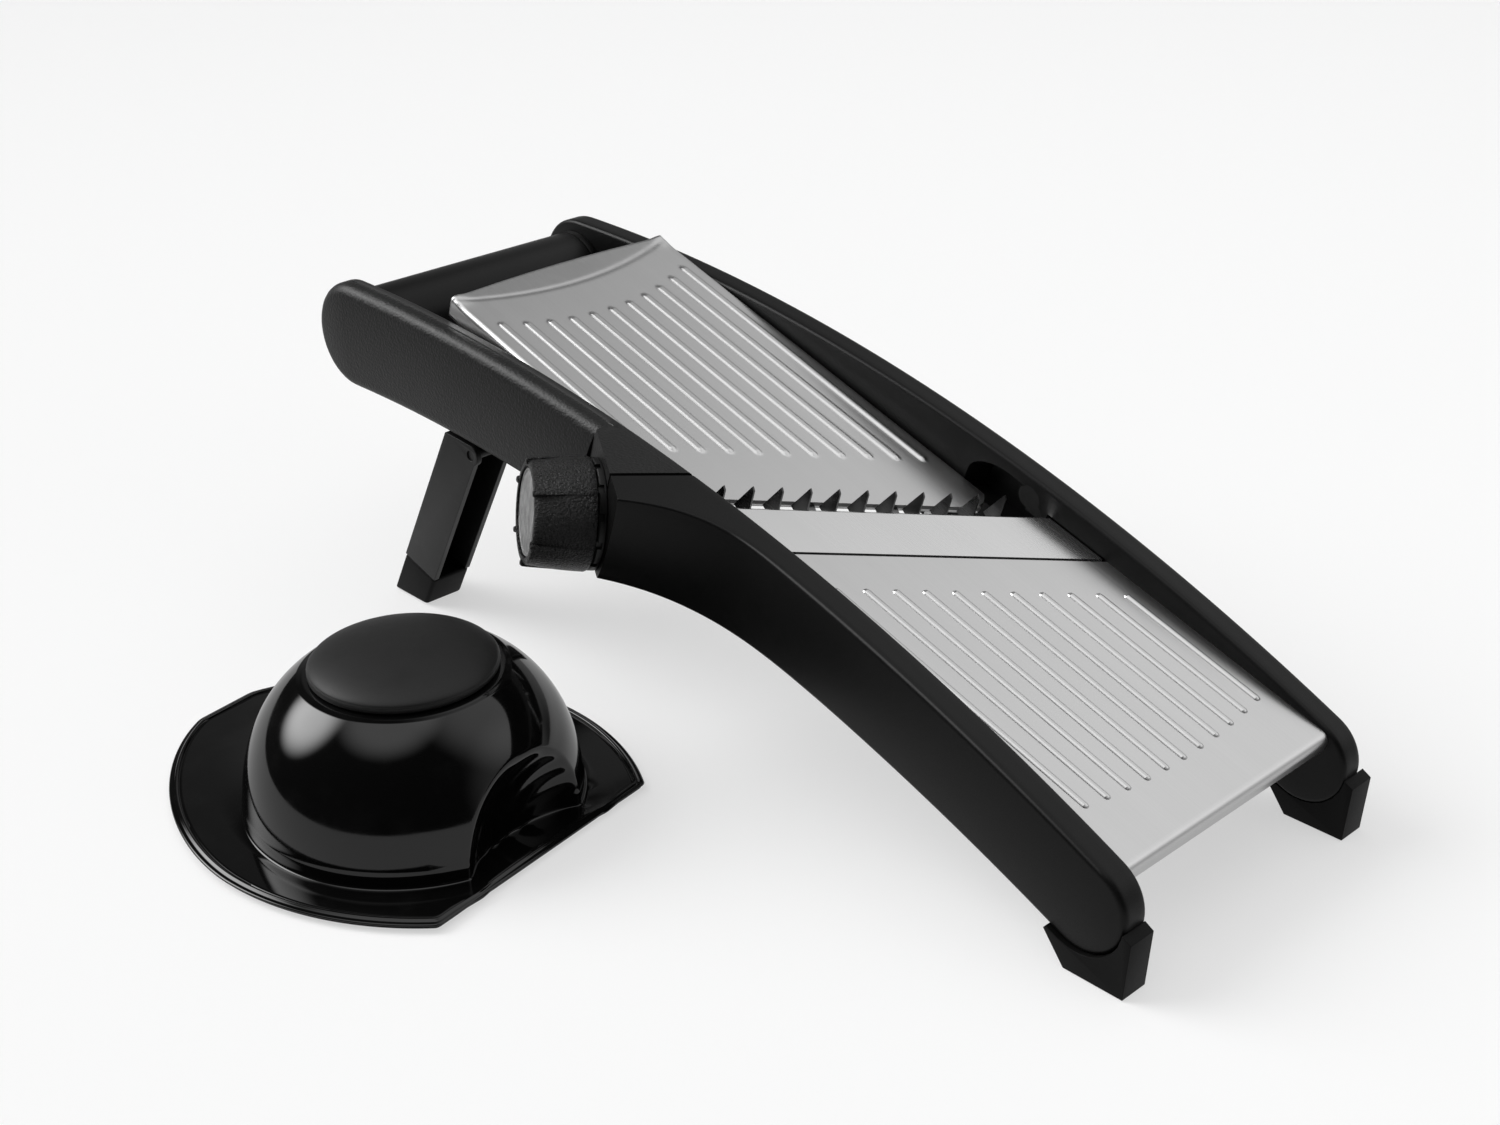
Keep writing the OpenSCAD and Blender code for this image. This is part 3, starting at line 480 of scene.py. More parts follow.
# --- mesh making ---
class Draft:
    """A mesh in the making, in millimetres of its own frame."""

    def __init__(self) -> None:
        """Starts an empty mesh."""
        self.bm = bmesh.new()

    def line(self, points: Iterable[Sequence[float]], closed: bool = False) -> list[bmesh.types.BMEdge]:
        """Vertices joined by edges.

        Args:
            points: Their places.
            closed: Whether the last joins the first.

        Returns:
            The edges.
        """
        verts = [self.bm.verts.new(p) for p in points]
        pairs = list(zip(verts, verts[1:])) + ([(verts[-1], verts[0])] if closed else [])
        return [self.bm.edges.new(pair) for pair in pairs]

    def lathe(self, profile: Sequence[Sequence[float]], steps: int = 96) -> None:
        """Full turn of a profile about Z.

        Args:
            profile: Pairs of radius and height.
            steps: Steps in the turn.
        """
        edges = self.line([(r, 0.0, z) for r, z in profile])
        verts = list({v for e in edges for v in e.verts})
        bmesh.ops.spin(
            self.bm, geom=verts + edges, cent=(0, 0, 0), axis=(0, 0, 1),
            angle=2 * pi, steps=steps, use_merge=True,
        )
        self.weld()

    def slab(self, outline: Iterable[Sequence[float]], push: Sequence[float]) -> None:
        """A prism from a closed outline.

        Args:
            outline: Its corners in space.
            push: How far and which way it is extruded.
        """
        face = self.bm.faces.new([self.bm.verts.new(p) for p in outline])
        made = bmesh.ops.extrude_face_region(self.bm, geom=[face])["geom"]
        bmesh.ops.translate(self.bm, verts=[g for g in made if isinstance(g, bmesh.types.BMVert)], vec=push)

    def block(self, low: Sequence[float], high: Sequence[float]) -> None:
        """A box between two corners.

        Args:
            low: Its lowest corner.
            high: Its highest corner.
        """
        size = [b - a for a, b in zip(low, high)]
        middle = [(a + b) / 2 for a, b in zip(low, high)]
        place = Matrix.Translation(middle) @ Matrix.Diagonal((*size, 1.0))
        bmesh.ops.create_cube(self.bm, size=1.0, matrix=place)

    def join(self, first: list[bmesh.types.BMEdge], second: list[bmesh.types.BMEdge]) -> None:
        """Bridges two loops of edges."""
        bmesh.ops.bridge_loops(self.bm, edges=first + second)

    def weld(self, gap: float = 0.0005) -> None:
        """Merges doubles and turns every face outwards."""
        bmesh.ops.remove_doubles(self.bm, verts=self.bm.verts, dist=gap)
        bmesh.ops.recalc_face_normals(self.bm, faces=self.bm.faces)

    def soften(self, width: float, angle: float, segments: int) -> None:
        """Bevels the edges that turn by more than an angle.

        Args:
            width: Bevel's width.
            angle: Least turn in degrees.
            segments: Segments of the bevel.
        """
        self.bm.normal_update()
        turned = [
            e for e in self.bm.edges if len(e.link_faces) == 2 and e.calc_face_angle(0.0) > radians(angle)
        ]
        bmesh.ops.bevel(
            self.bm, geom=turned, offset=width, offset_type="OFFSET", segments=segments, profile=0.5,
            affect="EDGES", clamp_overlap=True, material=-1,
        )

    def halve(self, at: Vector, across: Vector, keep_far: bool) -> list[bmesh.types.BMEdge]:
        """Cuts the mesh by a plane and drops one side.

        Args:
            at: A point of the plane.
            across: The plane's normal.
            keep_far: Whether the side that the normal points to is the one that stays.

        Returns:
            The edges of the cut.
        """
        everything = self.bm.verts[:] + self.bm.edges[:] + self.bm.faces[:]
        made = bmesh.ops.bisect_plane(
            self.bm, geom=everything, plane_co=at, plane_no=across, clear_inner=keep_far,
            clear_outer=not keep_far,
        )
        return [g for g in made["geom_cut"] if isinstance(g, bmesh.types.BMEdge)]

    def mesh(self, name: str) -> bpy.types.Mesh:
        """Ends the draft.

        Args:
            name: The mesh's name.

        Returns:
            The mesh.
        """
        made = bpy.data.meshes.new(name)
        self.bm.to_mesh(made)
        self.bm.free()
        return made


def add_object(name: str, data: bpy.types.ID) -> bpy.types.Object:
    """Adds an object to the scene.

    Args:
        name: Its name.
        data: Its mesh, lamp or camera.

    Returns:
        The object.
    """
    made = bpy.data.objects.new(name, data)
    bpy.context.scene.collection.objects.link(made)
    return made


def coat(mesh: bpy.types.Mesh, finish: bpy.types.Material) -> None:
    """Gives a mesh one material in place of any it has."""
    mesh.materials.clear()
    mesh.materials.append(finish)


def carve(mesh: bpy.types.Mesh, cutters: Sequence[bpy.types.Mesh]) -> bpy.types.Mesh:
    """Cuts closed meshes out of a closed mesh.

    Args:
        mesh: The mesh that is cut.
        cutters: What is taken away.

    Returns:
        The cut mesh.
    """
    body = add_object("blank", mesh)
    tools = []
    for cutter in cutters:
        tool = add_object("cutter", cutter)
        tools.append(tool)
        cut = body.modifiers.new("cut", "BOOLEAN")
        cut.operation, cut.solver, cut.object = "DIFFERENCE", "EXACT", tool
    bpy.context.view_layer.update()
    graph = bpy.context.evaluated_depsgraph_get()
    result = bpy.data.meshes.new_from_object(body.evaluated_get(graph))
    for thing in [body, *tools]:
        bpy.data.objects.remove(thing)
    return result


def place_piece(
    name: str, mesh: bpy.types.Mesh, place: Matrix, body: str,
    finish: bpy.types.Material, node: str, crease: float = 32.0,
) -> bpy.types.Object:
    """Args:
        name: The piece's name.
        mesh: Its mesh in its own frame.
        place: That frame in the row frame.
        body: The body it moves with.
        finish: Its material.
        node: The CAD node that it stands for.
        crease: Angle in degrees past which an edge stays sharp.

    Returns:
        The piece.
    """
    mesh.transform(place)
    coat(mesh, finish)
    mesh.polygons.foreach_set("use_smooth", [True] * len(mesh.polygons))
    mesh.set_sharp_from_angle(angle=radians(crease))
    piece = add_object(name, mesh)
    mesh.name = name
    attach(piece, body)
    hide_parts(node)
    LOG.info("%s: %d faces, on %s", name, len(mesh.polygons), body)
    return piece


def unit(value: float) -> float:
    """The value, held within 0 and 1."""
    return min(1.0, max(0.0, value))


def thicken(skin: bpy.types.Object, wall: float) -> None:
    """Gives an open skin a wall under it, in millimetres."""
    made = skin.modifiers.new("wall", "SOLIDIFY")
    made.thickness, made.offset = wall * MM, -1.0


def paint_edge_highlight(mesh: bpy.types.Mesh, facing: Sequence[float], close: float) -> None:
    """Marks the vertices of an edge that takes a painted highlight, by how nearly their normals face one way.

    Args:
        mesh: The finished mesh.
        facing: The way that the edge's round faces in its middle.
        close: How nearly a normal must face that way to be marked, as a cosine.
    """
    middle = Vector(facing).normalized()
    marks = mesh.attributes.new(MARK, "FLOAT", "POINT")
    for vert, mark in zip(mesh.vertices, marks.data):
        mark.value = unit((vert.normal.dot(middle) - close) / (1 - close) * 2.0)


def softened_node(
    node: str, width: float, finish: bpy.types.Material, segments: int = 3
) -> None:
    """A copy of a CAD node with its edges eased, which stands for the node.

    Args:
        node: The node's name.
        width: Width of the eased edges in millimetres.
        finish: Its material.
        segments: Segments over an edge.
    """
    source = frame["nodes"][node]
    draft = Draft()
    draft.bm.from_mesh(source.data)
    bmesh.ops.remove_doubles(draft.bm, verts=draft.bm.verts, dist=0.002 * MM)
    bmesh.ops.dissolve_limit(
        draft.bm, angle_limit=radians(0.6), use_dissolve_boundaries=False,
        verts=draft.bm.verts, edges=draft.bm.edges,
    )
    draft.soften(width * MM, 38.0, segments)
    place_piece(f"{node}_eased", draft.mesh(node), WHOLE, source["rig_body"], finish, node)


def arc(
    cx: float, cz: float, radius: float, start: float, end: float, steps: int
) -> list[tuple[float, float]]:
    """Points on a round about a centre, between two angles in degrees."""
    turns = [radians(start + (end - start) * i / steps) for i in range(steps + 1)]
    return [(cx + radius * cos(a), cz + radius * sin(a)) for a in turns]


# --- side rails ---
@dataclass
class SideRail:
    """A side rail: a deep bar on a long curve with round ends; the right one swells round the dial."""

    side: Side
    arc_x: float = -226.712
    arc_z: float = -814.996
    radius: float = 929.0
    turn_rear: float = -0.1698
    turn_front: float = 25.1113
    half_rear: float = 23.0
    half_front: float = 17.5
    inner: float = 57.3
    outer: float = 70.0
    inner_round: float = 1.8
    left_round: float = 3.2
    rear_round: float = 5.5
    dial_round: float = 1.1
    front_round: float = 2.4
    dial_from: float = -66.0
    ease_from: float = -10.0
    ease_length: float = 60.0
    seam_in: float = 4.1
    seam_deep: float = 0.85
    seam_end: float = -62.0
    seam_ease: float = 8.0
    seat: tuple[float, float] = (-54.86, 93.8)
    seat_facing: tuple[float, float] = (0.8185, 0.2691)
    seat_in: float = 5.075
    flare_high: tuple[float, ...] = (31.0, 56.0, 21.5, 2.9)
    flare_low: tuple[float, ...] = (43.0, 82.7, 19.1, 3.0)
    flare_from: float = 21.0
    flare_ease: float = 3.0
    flare_most: float = 32.0
    lean: float = 1.1
    steps: int = 150
    end_steps: int = 28
    dense_from: float = 0.36
    dense_step: float = 0.0022
    dense_steps: int = 110
    dense_room: tuple[float, float] = (0.357, 0.605)

    def half(self, t: float) -> float:
        """Half of the rail's depth at t."""
        return self.half_rear * (1 - t) + self.half_front * t

    def ring_frame(self, t: float) -> Matrix:
        """Frame of a ring of the rail.

        Args:
            t: Place along the rail, 0 at the rear.

        Returns:
            A frame whose Z points away from the curve's centre.
        """
        turn = radians(self.turn_rear + t * (self.turn_front - self.turn_rear))
        return (
            Matrix.Translation((self.arc_x, 0.0, self.arc_z))
            @ Matrix.Rotation(turn, 4, "Y")
            @ Matrix.Translation((0.0, 0.0, self.radius))
        )

    def edge_round(self, x: float) -> float:
        """Radius of the outer edge, which is small beside the dial.

        Args:
            x: Place along the slicer.

        Returns:
            The radius.
        """
        if self.side is Side.LEFT:
            return self.left_round
        if x < self.dial_from:
            return self.rear_round
        blend = unit((x - self.ease_from) / self.ease_length)
        return self.dial_round * (1 - blend) + self.front_round * blend

    def seam_depth(self, x: float) -> float:
        """Depth of the line where the grained skin of the rear half ends on its top.

        Args:
            x: Place along the slicer.

        Returns:
            The depth.
        """
        if self.side is Side.LEFT:
            return 0.0
        return self.seam_deep * unit((self.seam_end - x) / self.seam_ease)

    @staticmethod
    def rise(x: float, end: float, length: float, most: float, power: float) -> float:
        """A curve that leaves 0 at its end and is the most at its length behind it."""
        return most * (max(0.0, end - x) / length) ** power

    def flare(self, x: float, z: float, share: float) -> float:
        """How far the outer side stands out round the dial.

        Args:
            x: Place along the slicer.
            z: Height.
            share: 0 at the rail's lower edge and 1 at its upper edge.

        Returns:
            The distance past the rail's plain side.
        """
        if self.side is Side.LEFT or x > self.flare_low[0]:
            return 0.0
        along, up = self.seat_facing
        past_seat = (x - self.seat[0]) * along - self.seat_in - (z - self.seat[1]) * up
        high, low = self.rise(x, *self.flare_high), self.rise(x, *self.flare_low)
        begun = unit((past_seat + self.flare_from) / self.flare_ease)
        return begun * min(self.flare_most, low + (high - low) * share)

    def half_section(self, t: float, up: int) -> list[tuple[float, float, float]]:
        """Points from the inner side's middle over one edge to the outer side's middle.

        Args:
            t: Place along the rail, 0 at the rear.
            up: 1 for the upper half and -1 for the lower.

        Returns:
            The points in the ring's frame.
        """
        h, side = self.half(t), self.side.value
        here = self.ring_frame(t)
        r_in = self.inner_round
        flat = [(self.inner, 0.0), (self.inner, h * 0.55)]
        flat += arc(self.inner + r_in, h - r_in, r_in, 180, 90, 4)
        at = here @ Vector((0.0, 0.0, h * up))
        r_out = self.edge_round(at.x)
        span = self.outer - self.lean + self.flare(at.x, at.z, 0.5 + 0.5 * up) - r_out
        seam = self.seam_depth(at.x) if up > 0 else 0.0
        first = self.inner + self.seam_in
        flat += [(first, h), (first + 0.25, h - seam), (first + 0.75, h - seam), (first + 1.0, h)]
        flat += [(first + 1.0 + (span - first - 1.0) * k / 4, h) for k in range(1, 4)]
        flat += arc(span, h - r_out, r_out, 90, 0, 6)
        points = [(0.0, side * y, z * up) for y, z in flat]
        for k in range(1, 9):
            share = 1 - k / 8
            z = (h - r_out) * share
            spot = here @ Vector((0.0, 0.0, z * up))
            swell = self.flare(spot.x, spot.z, 0.5 + 0.5 * up * share)
            points.append((0.0, side * (self.outer - self.lean * share**2 + swell), z * up))
        return points

    def blank(self) -> Draft:
        """The rail before its pockets and joints are cut.

        Returns:
            The closed draft.
        """
        draft = Draft()
        places = self.stations()
        loops = []
        for t in places:
            ring = self.half_section(t, 1) + self.half_section(t, -1)[::-1][1:-1]
            here = self.ring_frame(t)
            loops.append(draft.line([here @ Vector(p) for p in ring], closed=True))
        for first, second in zip(loops, loops[1:]):
            draft.join(first, second)
        for t, turn in ((places[0], -pi), (places[-1], pi)):
            here = self.ring_frame(t)
            edges = draft.line([here @ Vector(p) for p in self.half_section(t, 1)])
            bmesh.ops.spin(
                draft.bm, geom=list({v for e in edges for v in e.verts}) + edges, cent=here.translation,
                axis=(0, 1, 0), angle=turn, steps=self.end_steps, use_duplicate=False,
            )
        draft.weld(0.02)
        return draft

    def stations(self) -> list[float]:
        """Places of the rings along the rail, closer together round the dial.

        Returns:
            The places, from 0 at the rear to 1.
        """
        even = [i / self.steps for i in range(self.steps + 1)]
        if self.side is Side.LEFT:
            return even[::2]
        near = {round(self.dense_from + self.dense_step * i, 5) for i in range(self.dense_steps)}
        low, high = self.dense_room
        return sorted({round(t, 5) for t in even if not low < t < high} | near)


@dataclass
class Rails:
    """Both side rails and the hand bar."""

    finishes: Finishes
    split_p: float = 5.3
    split_gap: float = 1.7
    bar_radius: float = 19.0
    bar_x: float = -229.465
    bar_z: float = 113.0
    bar_half: float = 57.4
    arch_middle: tuple[float, float] = (-3.0, -6.0)
    arch_size: tuple[float, float] = (17.0, 10.6)
    arch_foot: float = -14.0
    pocket_depth: float = 66.3
    slot_along: tuple[float, float] = (14.7, 40.2)
    slot_high: tuple[float, float] = (-5.3, 0.45)
    tab_round: tuple[float, ...] = (5.5, 0.8, 5.1)
    seat_box: tuple[float, ...] = (-22.8, 80.0, 60.0, 90.0)
    hole_radius: float = 7.5
    # Way that the middle of the painted edge highlight faces, and how closely a normal must face it.
    edge_faces: tuple[float, float, float] = (0.1, -0.7, 0.7)
    edge_close: float = 0.972

    def build(self) -> None:
        """Builds every piece."""
        self.left()
        self.right()
        self.hand_bar()

    @staticmethod
    def cutter(outline: Iterable[Sequence[float]], near: float, deep: float) -> Draft:
        """A prism across the slicer.

        Args:
            outline: Its corners along and above the blade's plane.
            near: Where it starts across the slicer.
            deep: How far it goes.

        Returns:
            The draft, in the row frame.
        """
        draft = Draft()
        draft.slab([(x, near, z) for x, z in outline], (0, deep, 0))
        draft.weld()
        draft.bm.transform(BLADE)
        return draft

    def left(self) -> None:
        """The left rail with its arched pocket and the cassette's opening."""
        mesh = SideRail(Side.LEFT).blank().mesh("rail")
        mesh.transform(ROW)
        (x, z), (wide, tall), foot = self.arch_middle, self.arch_size, self.arch_foot
        turns = [radians(180 * i / 24) for i in range(25)]
        arch = [(x - wide * cos(a), z + tall * sin(a)) for a in turns]
        pocket = self.cutter([(x - wide, foot), *arch, (x + wide, foot)], 40, 80)
        pocket.halve(ROW @ Vector((0, self.pocket_depth, 0)), Vector((0, 1, 0)), False)
        bmesh.ops.holes_fill(pocket.bm, edges=[e for e in pocket.bm.edges if e.is_boundary])
        bmesh.ops.recalc_face_normals(pocket.bm, faces=pocket.bm.faces)
        (rear, fore), (low, high) = self.slot_along, self.slot_high
        slot = self.cutter([(rear, low), (fore, low), (fore, high), (rear, high)], 50, 75)
        tab = self.cutter(arc(*self.tab_round, 0, 352.5, 47), 50, 75)
        mesh = carve(mesh, [pocket.mesh("pocket"), slot.mesh("slot"), tab.mesh("tab")])
        finish = self.finishes.rail
        place_piece("rail_left_moulded", mesh, WHOLE, "frame", finish, "rail_left")

    def right(self) -> None:
        """The right rail in its two halves, with the seat of the dial cut in."""
        blank = SideRail(Side.RIGHT).blank().mesh("rail")
        blank.transform(ROW)
        seat = Draft()
        low, high, half, deep = self.seat_box
        seat.slab([(low, -half, 0.0), (high, -half, 0.0), (high, half, 0.0), (low, half, 0.0)], (0, 0, deep))
        seat.weld()
        seat.bm.transform(DIAL)
        hole = Draft()
        r = self.hole_radius
        bmesh.ops.create_cone(hole.bm, cap_ends=True, segments=48, radius1=r, radius2=r, depth=120)
        hole.bm.transform(DIAL)
        cut = carve(blank, [seat.mesh("seat"), hole.mesh("hole")])
        across = (BLADE.to_3x3() @ Vector((1, 0, 0))).normalized()
        for end, sign, finish in (("rear", -1, self.finishes.panel), ("front", 1, self.finishes.rail)):
            node = f"rail_right_{end}"
            draft = Draft()
            draft.bm.from_mesh(cut)
            bmesh.ops.remove_doubles(draft.bm, verts=draft.bm.verts, dist=0.001 * MM)
            at = BLADE @ Vector((self.split_p + sign * self.split_gap / 2, 0, 0))
            rim = draft.halve(at, across * sign, True)
            bmesh.ops.triangle_fill(draft.bm, edges=rim, use_dissolve=True, use_beauty=True)
            bmesh.ops.recalc_face_normals(draft.bm, faces=draft.bm.faces)
            mesh = draft.mesh(node)
            # Marks the outer top edge, whose normals face the mirrored key glow, for a painted highlight.
            paint_edge_highlight(mesh, self.edge_faces, self.edge_close)
            place_piece(f"{node}_moulded", mesh, WHOLE, "frame", finish, node)

    def hand_bar(self) -> None:
        """The bar between the rails: a sleeve with a parting groove near each end."""
        r, end = self.bar_radius, self.bar_half
        groove = [(r, 54.6), (r - 0.1, 54.3), (r - 0.75, 54.1)]
        groove += [(r - 0.75, 53.6), (r - 0.25, 53.3), (r - 0.2, 52.9)]
        profile = [(0.0, -end), (r - 0.3, -end), (r, -end + 0.4)]
        profile += [(a, -z) for a, z in groove] + groove[::-1]
        profile += [(r, end - 0.4), (r - 0.3, end), (0.0, end)]
        draft = Draft()
        draft.lathe(profile, 128)
        place = Matrix.Translation((self.bar_x, 0, self.bar_z)) @ Matrix.Rotation(-pi / 2, 4, "X")
        place_piece(
            "hand_bar_sleeve", draft.mesh("bar"), ROW @ place, "frame",
            self.finishes.rail, "hand_bar",
        )


@dataclass
class RampPlate:
    """The feed ramp's pressed sheet: ribs, folded sides, a crease across its upper end and raised corners."""

    finishes: Finishes
    half: float = 56.8
    top: float = -9.4
    length: float = 174.8
    bulge: float = 3.0
    thickness: float = 1.0
    fold: float = 2.2
    drop: float = 9.0
    corner: float = 9.0
    pitch: float = 9.77
    rib_radius: float = 1.9
    rib_height: float = 0.8
    ribs: int = 5
    rib_start: float = 33.0
    rib_arc: float = 115.6
    rib_stop: float = 28.0
    crease_in: float = 1.5
    crease_bow: float = 10.5
    crease_deep: float = 0.3
    past_fall: float = 0.06
    ear_rise: float = 1.05
    ear_reach: float = 4.6
    notch_p: float = -13.7
    notch_drop: float = 3.0
    rows: int = 190
    lip: tuple[float, ...] = (0.5, 1.5, 2.8)

    def build(self) -> None:
        """Builds the sheet."""
        draft = Draft()
        across = self.section()
        rows = [(row / self.rows, 0.0) for row in range(self.rows + 1)] + [(1.0, drop) for drop in self.lip]
        loops = [draft.line([self.point(share, v, z - drop) for v, z in across]) for share, drop in rows]
        for first, second in zip(loops, loops[1:]):
            draft.join(first, second)
        draft.weld()
        for face in draft.bm.faces:
            if face.calc_center_median().z > self.top - 0.4 and face.normal.z < 0:
                bmesh.ops.reverse_faces(draft.bm, faces=draft.bm.faces)
                break
        middles = [(face, face.calc_center_median()) for face in draft.bm.faces]
        gone = [
            face for face, at in middles
            if at.x * cos(SKEW) - at.y * sin(SKEW) > self.notch_p and at.z < self.top - self.notch_drop
        ]
        bmesh.ops.delete(draft.bm, geom=gone, context="FACES")
        piece = place_piece(
            "ramp_plate_pressed", draft.mesh("ramp"), DECK, "ramp",
            self.finishes.plate, "ramp_plate", 60,
        )
        thicken(piece, self.thickness)

    def section(self) -> list[tuple[float, float]]:
        """Points across the sheet, from one folded side's edge to the other's.

        Returns:
            Pairs of place and drop.
        """
        flat = self.half - self.fold
        steps = (0.0, 0.45, 0.9, 1.3, 1.7, 2.2)
        spots = {round(flat * k / 30, 3) for k in range(31)}
        for rib in range(self.ribs + 1):
            spots |= {round(rib * self.pitch + sign * d, 3) for d in steps for sign in (-1, 1)}
        side = sorted(v for v in spots if 0.2 <= v <= flat)
        top = [(v, 0.0) for k, v in enumerate(side) if k == 0 or v - side[k - 1] > 0.2]
        turns = [pi / 2 * k / 10 for k in range(1, 11)]
        top += [(flat + self.fold * sin(a), self.fold * (cos(a) - 1)) for a in turns]
        top += [(self.half, -self.fold - (self.drop - self.fold) * k / 6) for k in range(1, 7)]
        return [(-v, z) for v, z in top[::-1]] + [(0.0, 0.0)] + top

    def point(self, share: float, v: float, z: float) -> tuple[float, float, float]:
        """A point of the sheet.

        Args:
            share: 0 at the upper end and 1 at the throat.
            v: Place across.
            z: Drop over the folded side.

        Returns:
            The point in the deck's frame.
        """
        inset = min(abs(v), self.half) / self.half
        start = -self.length - self.bulge * (1 - inset * inset)
        end = v * math.tan(SKEW)
        past = v - (self.half - self.corner)
        if past > 0:
            middle = (-self.corner / cos(SKEW)) + (self.half - self.corner) * math.tan(SKEW)
            end = min(end, middle + sqrt(max(0.0, self.corner**2 - min(past, self.corner) ** 2)))
        u = start + (end - start) * share
        return (u, v, self.top + z + self.pressed(u, v))

    def pressed(self, u: float, v: float) -> float:
        """Height that the press gives the sheet.

        Args:
            u: Place along the ramp, 0 where the throat's line crosses its middle.
            v: Place across.

        Returns:
            The height over the flat sheet.
        """
        rib = round(v / self.pitch)
        line = rib * self.pitch
        height = 0.0
        if abs(rib) <= self.ribs:
            first = -self.length + self.rib_start - (self.rib_arc - sqrt(self.rib_arc**2 - line * line))
            last = -self.rib_stop / cos(SKEW) + line * math.tan(SKEW)
            along = max(first + self.rib_radius - u, u - (last - self.rib_radius), 0.0)
            crown = max(0.0, 1 - (hypot(along, v - line) / self.rib_radius) ** 2)
            height = self.rib_height * crown * crown * (3 - 2 * crown)
        edge = min(abs(v) / self.half, 1.0)
        past = -self.length + self.crease_in + self.crease_bow * (1 - edge * edge) - u
        height -= self.crease_deep * math.exp(-(past**2)) + self.past_fall * max(0.0, past)
        ear = hypot(u + self.length, max(0.0, self.half - 1.5 - abs(v)))
        return height + self.ear_rise * math.exp(-((ear / self.ear_reach) ** 2))


@dataclass
class Dial:
    """The thickness dial: collar, finned grip and pale face."""

    finishes: Finishes
    collar_radius: float = 21.0
    collar_depth: float = 3.0
    base_radius: float = 21.5
    tip_radius: float = 19.5
    length: float = 23.0
    gap: float = 3.4
    bore: float = 4.1
    fins: int = 6
    notches: int = 12

    def build(self) -> None:
        """Builds every piece."""
        self.collar()
        self.grip()
        self.face()

    def collar(self) -> None:
        """The fixed collar with its notched rim."""
        r, d = self.collar_radius, self.collar_depth
        draft = Draft()
        bore = self.bore
        profile = [(bore, 0.0), (r - 0.4, 0.0), (r, 0.4), (r, d - 0.5), (r - 0.5, d), (bore, d), (bore, 0.0)]
        draft.lathe(profile, 144)
        cuts = []
        for k in range(self.notches):
            notch = Draft()
            notch.block((r - 1.2, -1.5, 1.0), (r + 2, 1.5, d + 1))
            notch.bm.transform(Matrix.Rotation(radians(360 / self.notches * k + 6), 4, "Z"))
            cuts.append(notch.mesh("notch"))
        place_piece(
            "dial_collar_turned", carve(draft.mesh("collar"), cuts), DIAL, "frame",
            self.finishes.satin, "dial_collar", 25,
        )

    def grip(self) -> None:
        """The tapered grip with a rim, fins that end in small nubs, and a hollow back."""
        b, t, length = self.base_radius, self.tip_radius, self.length
        draft = Draft()
        body = [(3.6, 0.6), (6.5, 0.6), (6.5, 9.0), (16.0, 9.0), (16.5, 0.4), (17.0, 0.0), (b - 0.9, 0.0)]
        body += [(b - 0.25, 0.25), (b, 0.9)]
        for k in range(1, 12):
            share = k / 12
            body.append((b + (t - b) * share + 0.35 * sin(pi * share), 0.9 + (length - 2.0 - 0.9) * share))
        body += arc(t - 1.3, length - 1.3, 1.3, 8, 90, 5)
        body += [(17.2, length), (16.9, length - 0.25), (16.7, length - 2.7), (3.6, length - 2.7), (3.6, 0.6)]
        draft.lathe(body, 160)
        for k in range(self.fins):
            self.fin(draft, 2 * pi * k / self.fins)
        place_piece(
            "dial_grip_moulded", draft.mesh("grip"), self.raised(), "dial",
            self.finishes.grip, "dial_grip", 38,
        )

    def fin(self, draft: Draft, turn: float) -> None:
        """One fin: a rounded ridge down the grip that runs on past the rim.

        Args:
            draft: The grip's draft.
            turn: The fin's angle about the axis.
        """
        rib = Draft()
        crest = [(self.base_radius + 0.15, 1.4), (self.tip_radius + 0.9, self.length - 1.2)]
        crest += [(self.tip_radius + 0.75, self.length + 0.1), (self.tip_radius + 0.2, self.length + 0.75)]
        crest += [(self.tip_radius - 0.9, self.length + 0.8), (self.tip_radius - 1.9, self.length + 0.4)]
        crest += [(self.tip_radius - 2.1, self.length - 0.6), (self.base_radius - 2.0, 1.4)]
        rib.slab([(r, -0.95, z) for r, z in crest], (0, 1.9, 0))
        rib.weld()
        rib.soften(0.75, 20.0, 4)
        rib.bm.transform(Matrix.Rotation(turn, 4, "Z"))
        rib_mesh = rib.mesh("fin")
        draft.bm.from_mesh(rib_mesh)
        bpy.data.meshes.remove(rib_mesh)

    def face(self) -> None:
        """The pale disc in the rim, very slightly dished, with a fine step round its edge."""
        draft = Draft()
        top = self.length - 0.6
        depths = [(0.0, 2.0), (16.4, 2.0), (16.5, 1.8), (16.5, 0.5), (16.2, 0.2), (15.4, 0.15), (15.1, 0.4)]
        depths += [(14.6, 0.4), (14.2, 0.15), (10.0, 0.05), (5.0, 0.0), (0.0, 0.0)]
        draft.lathe([(r, top - depth) for r, depth in depths], 128)
        place_piece(
            "dial_face_disc", draft.mesh("face"), self.raised(), "dial",
            self.finishes.disc, "dial_face",
        )

    def raised(self) -> Matrix:
        """The dial's frame at the grip's back."""
        return DIAL @ Matrix.Translation((0, 0, self.gap))


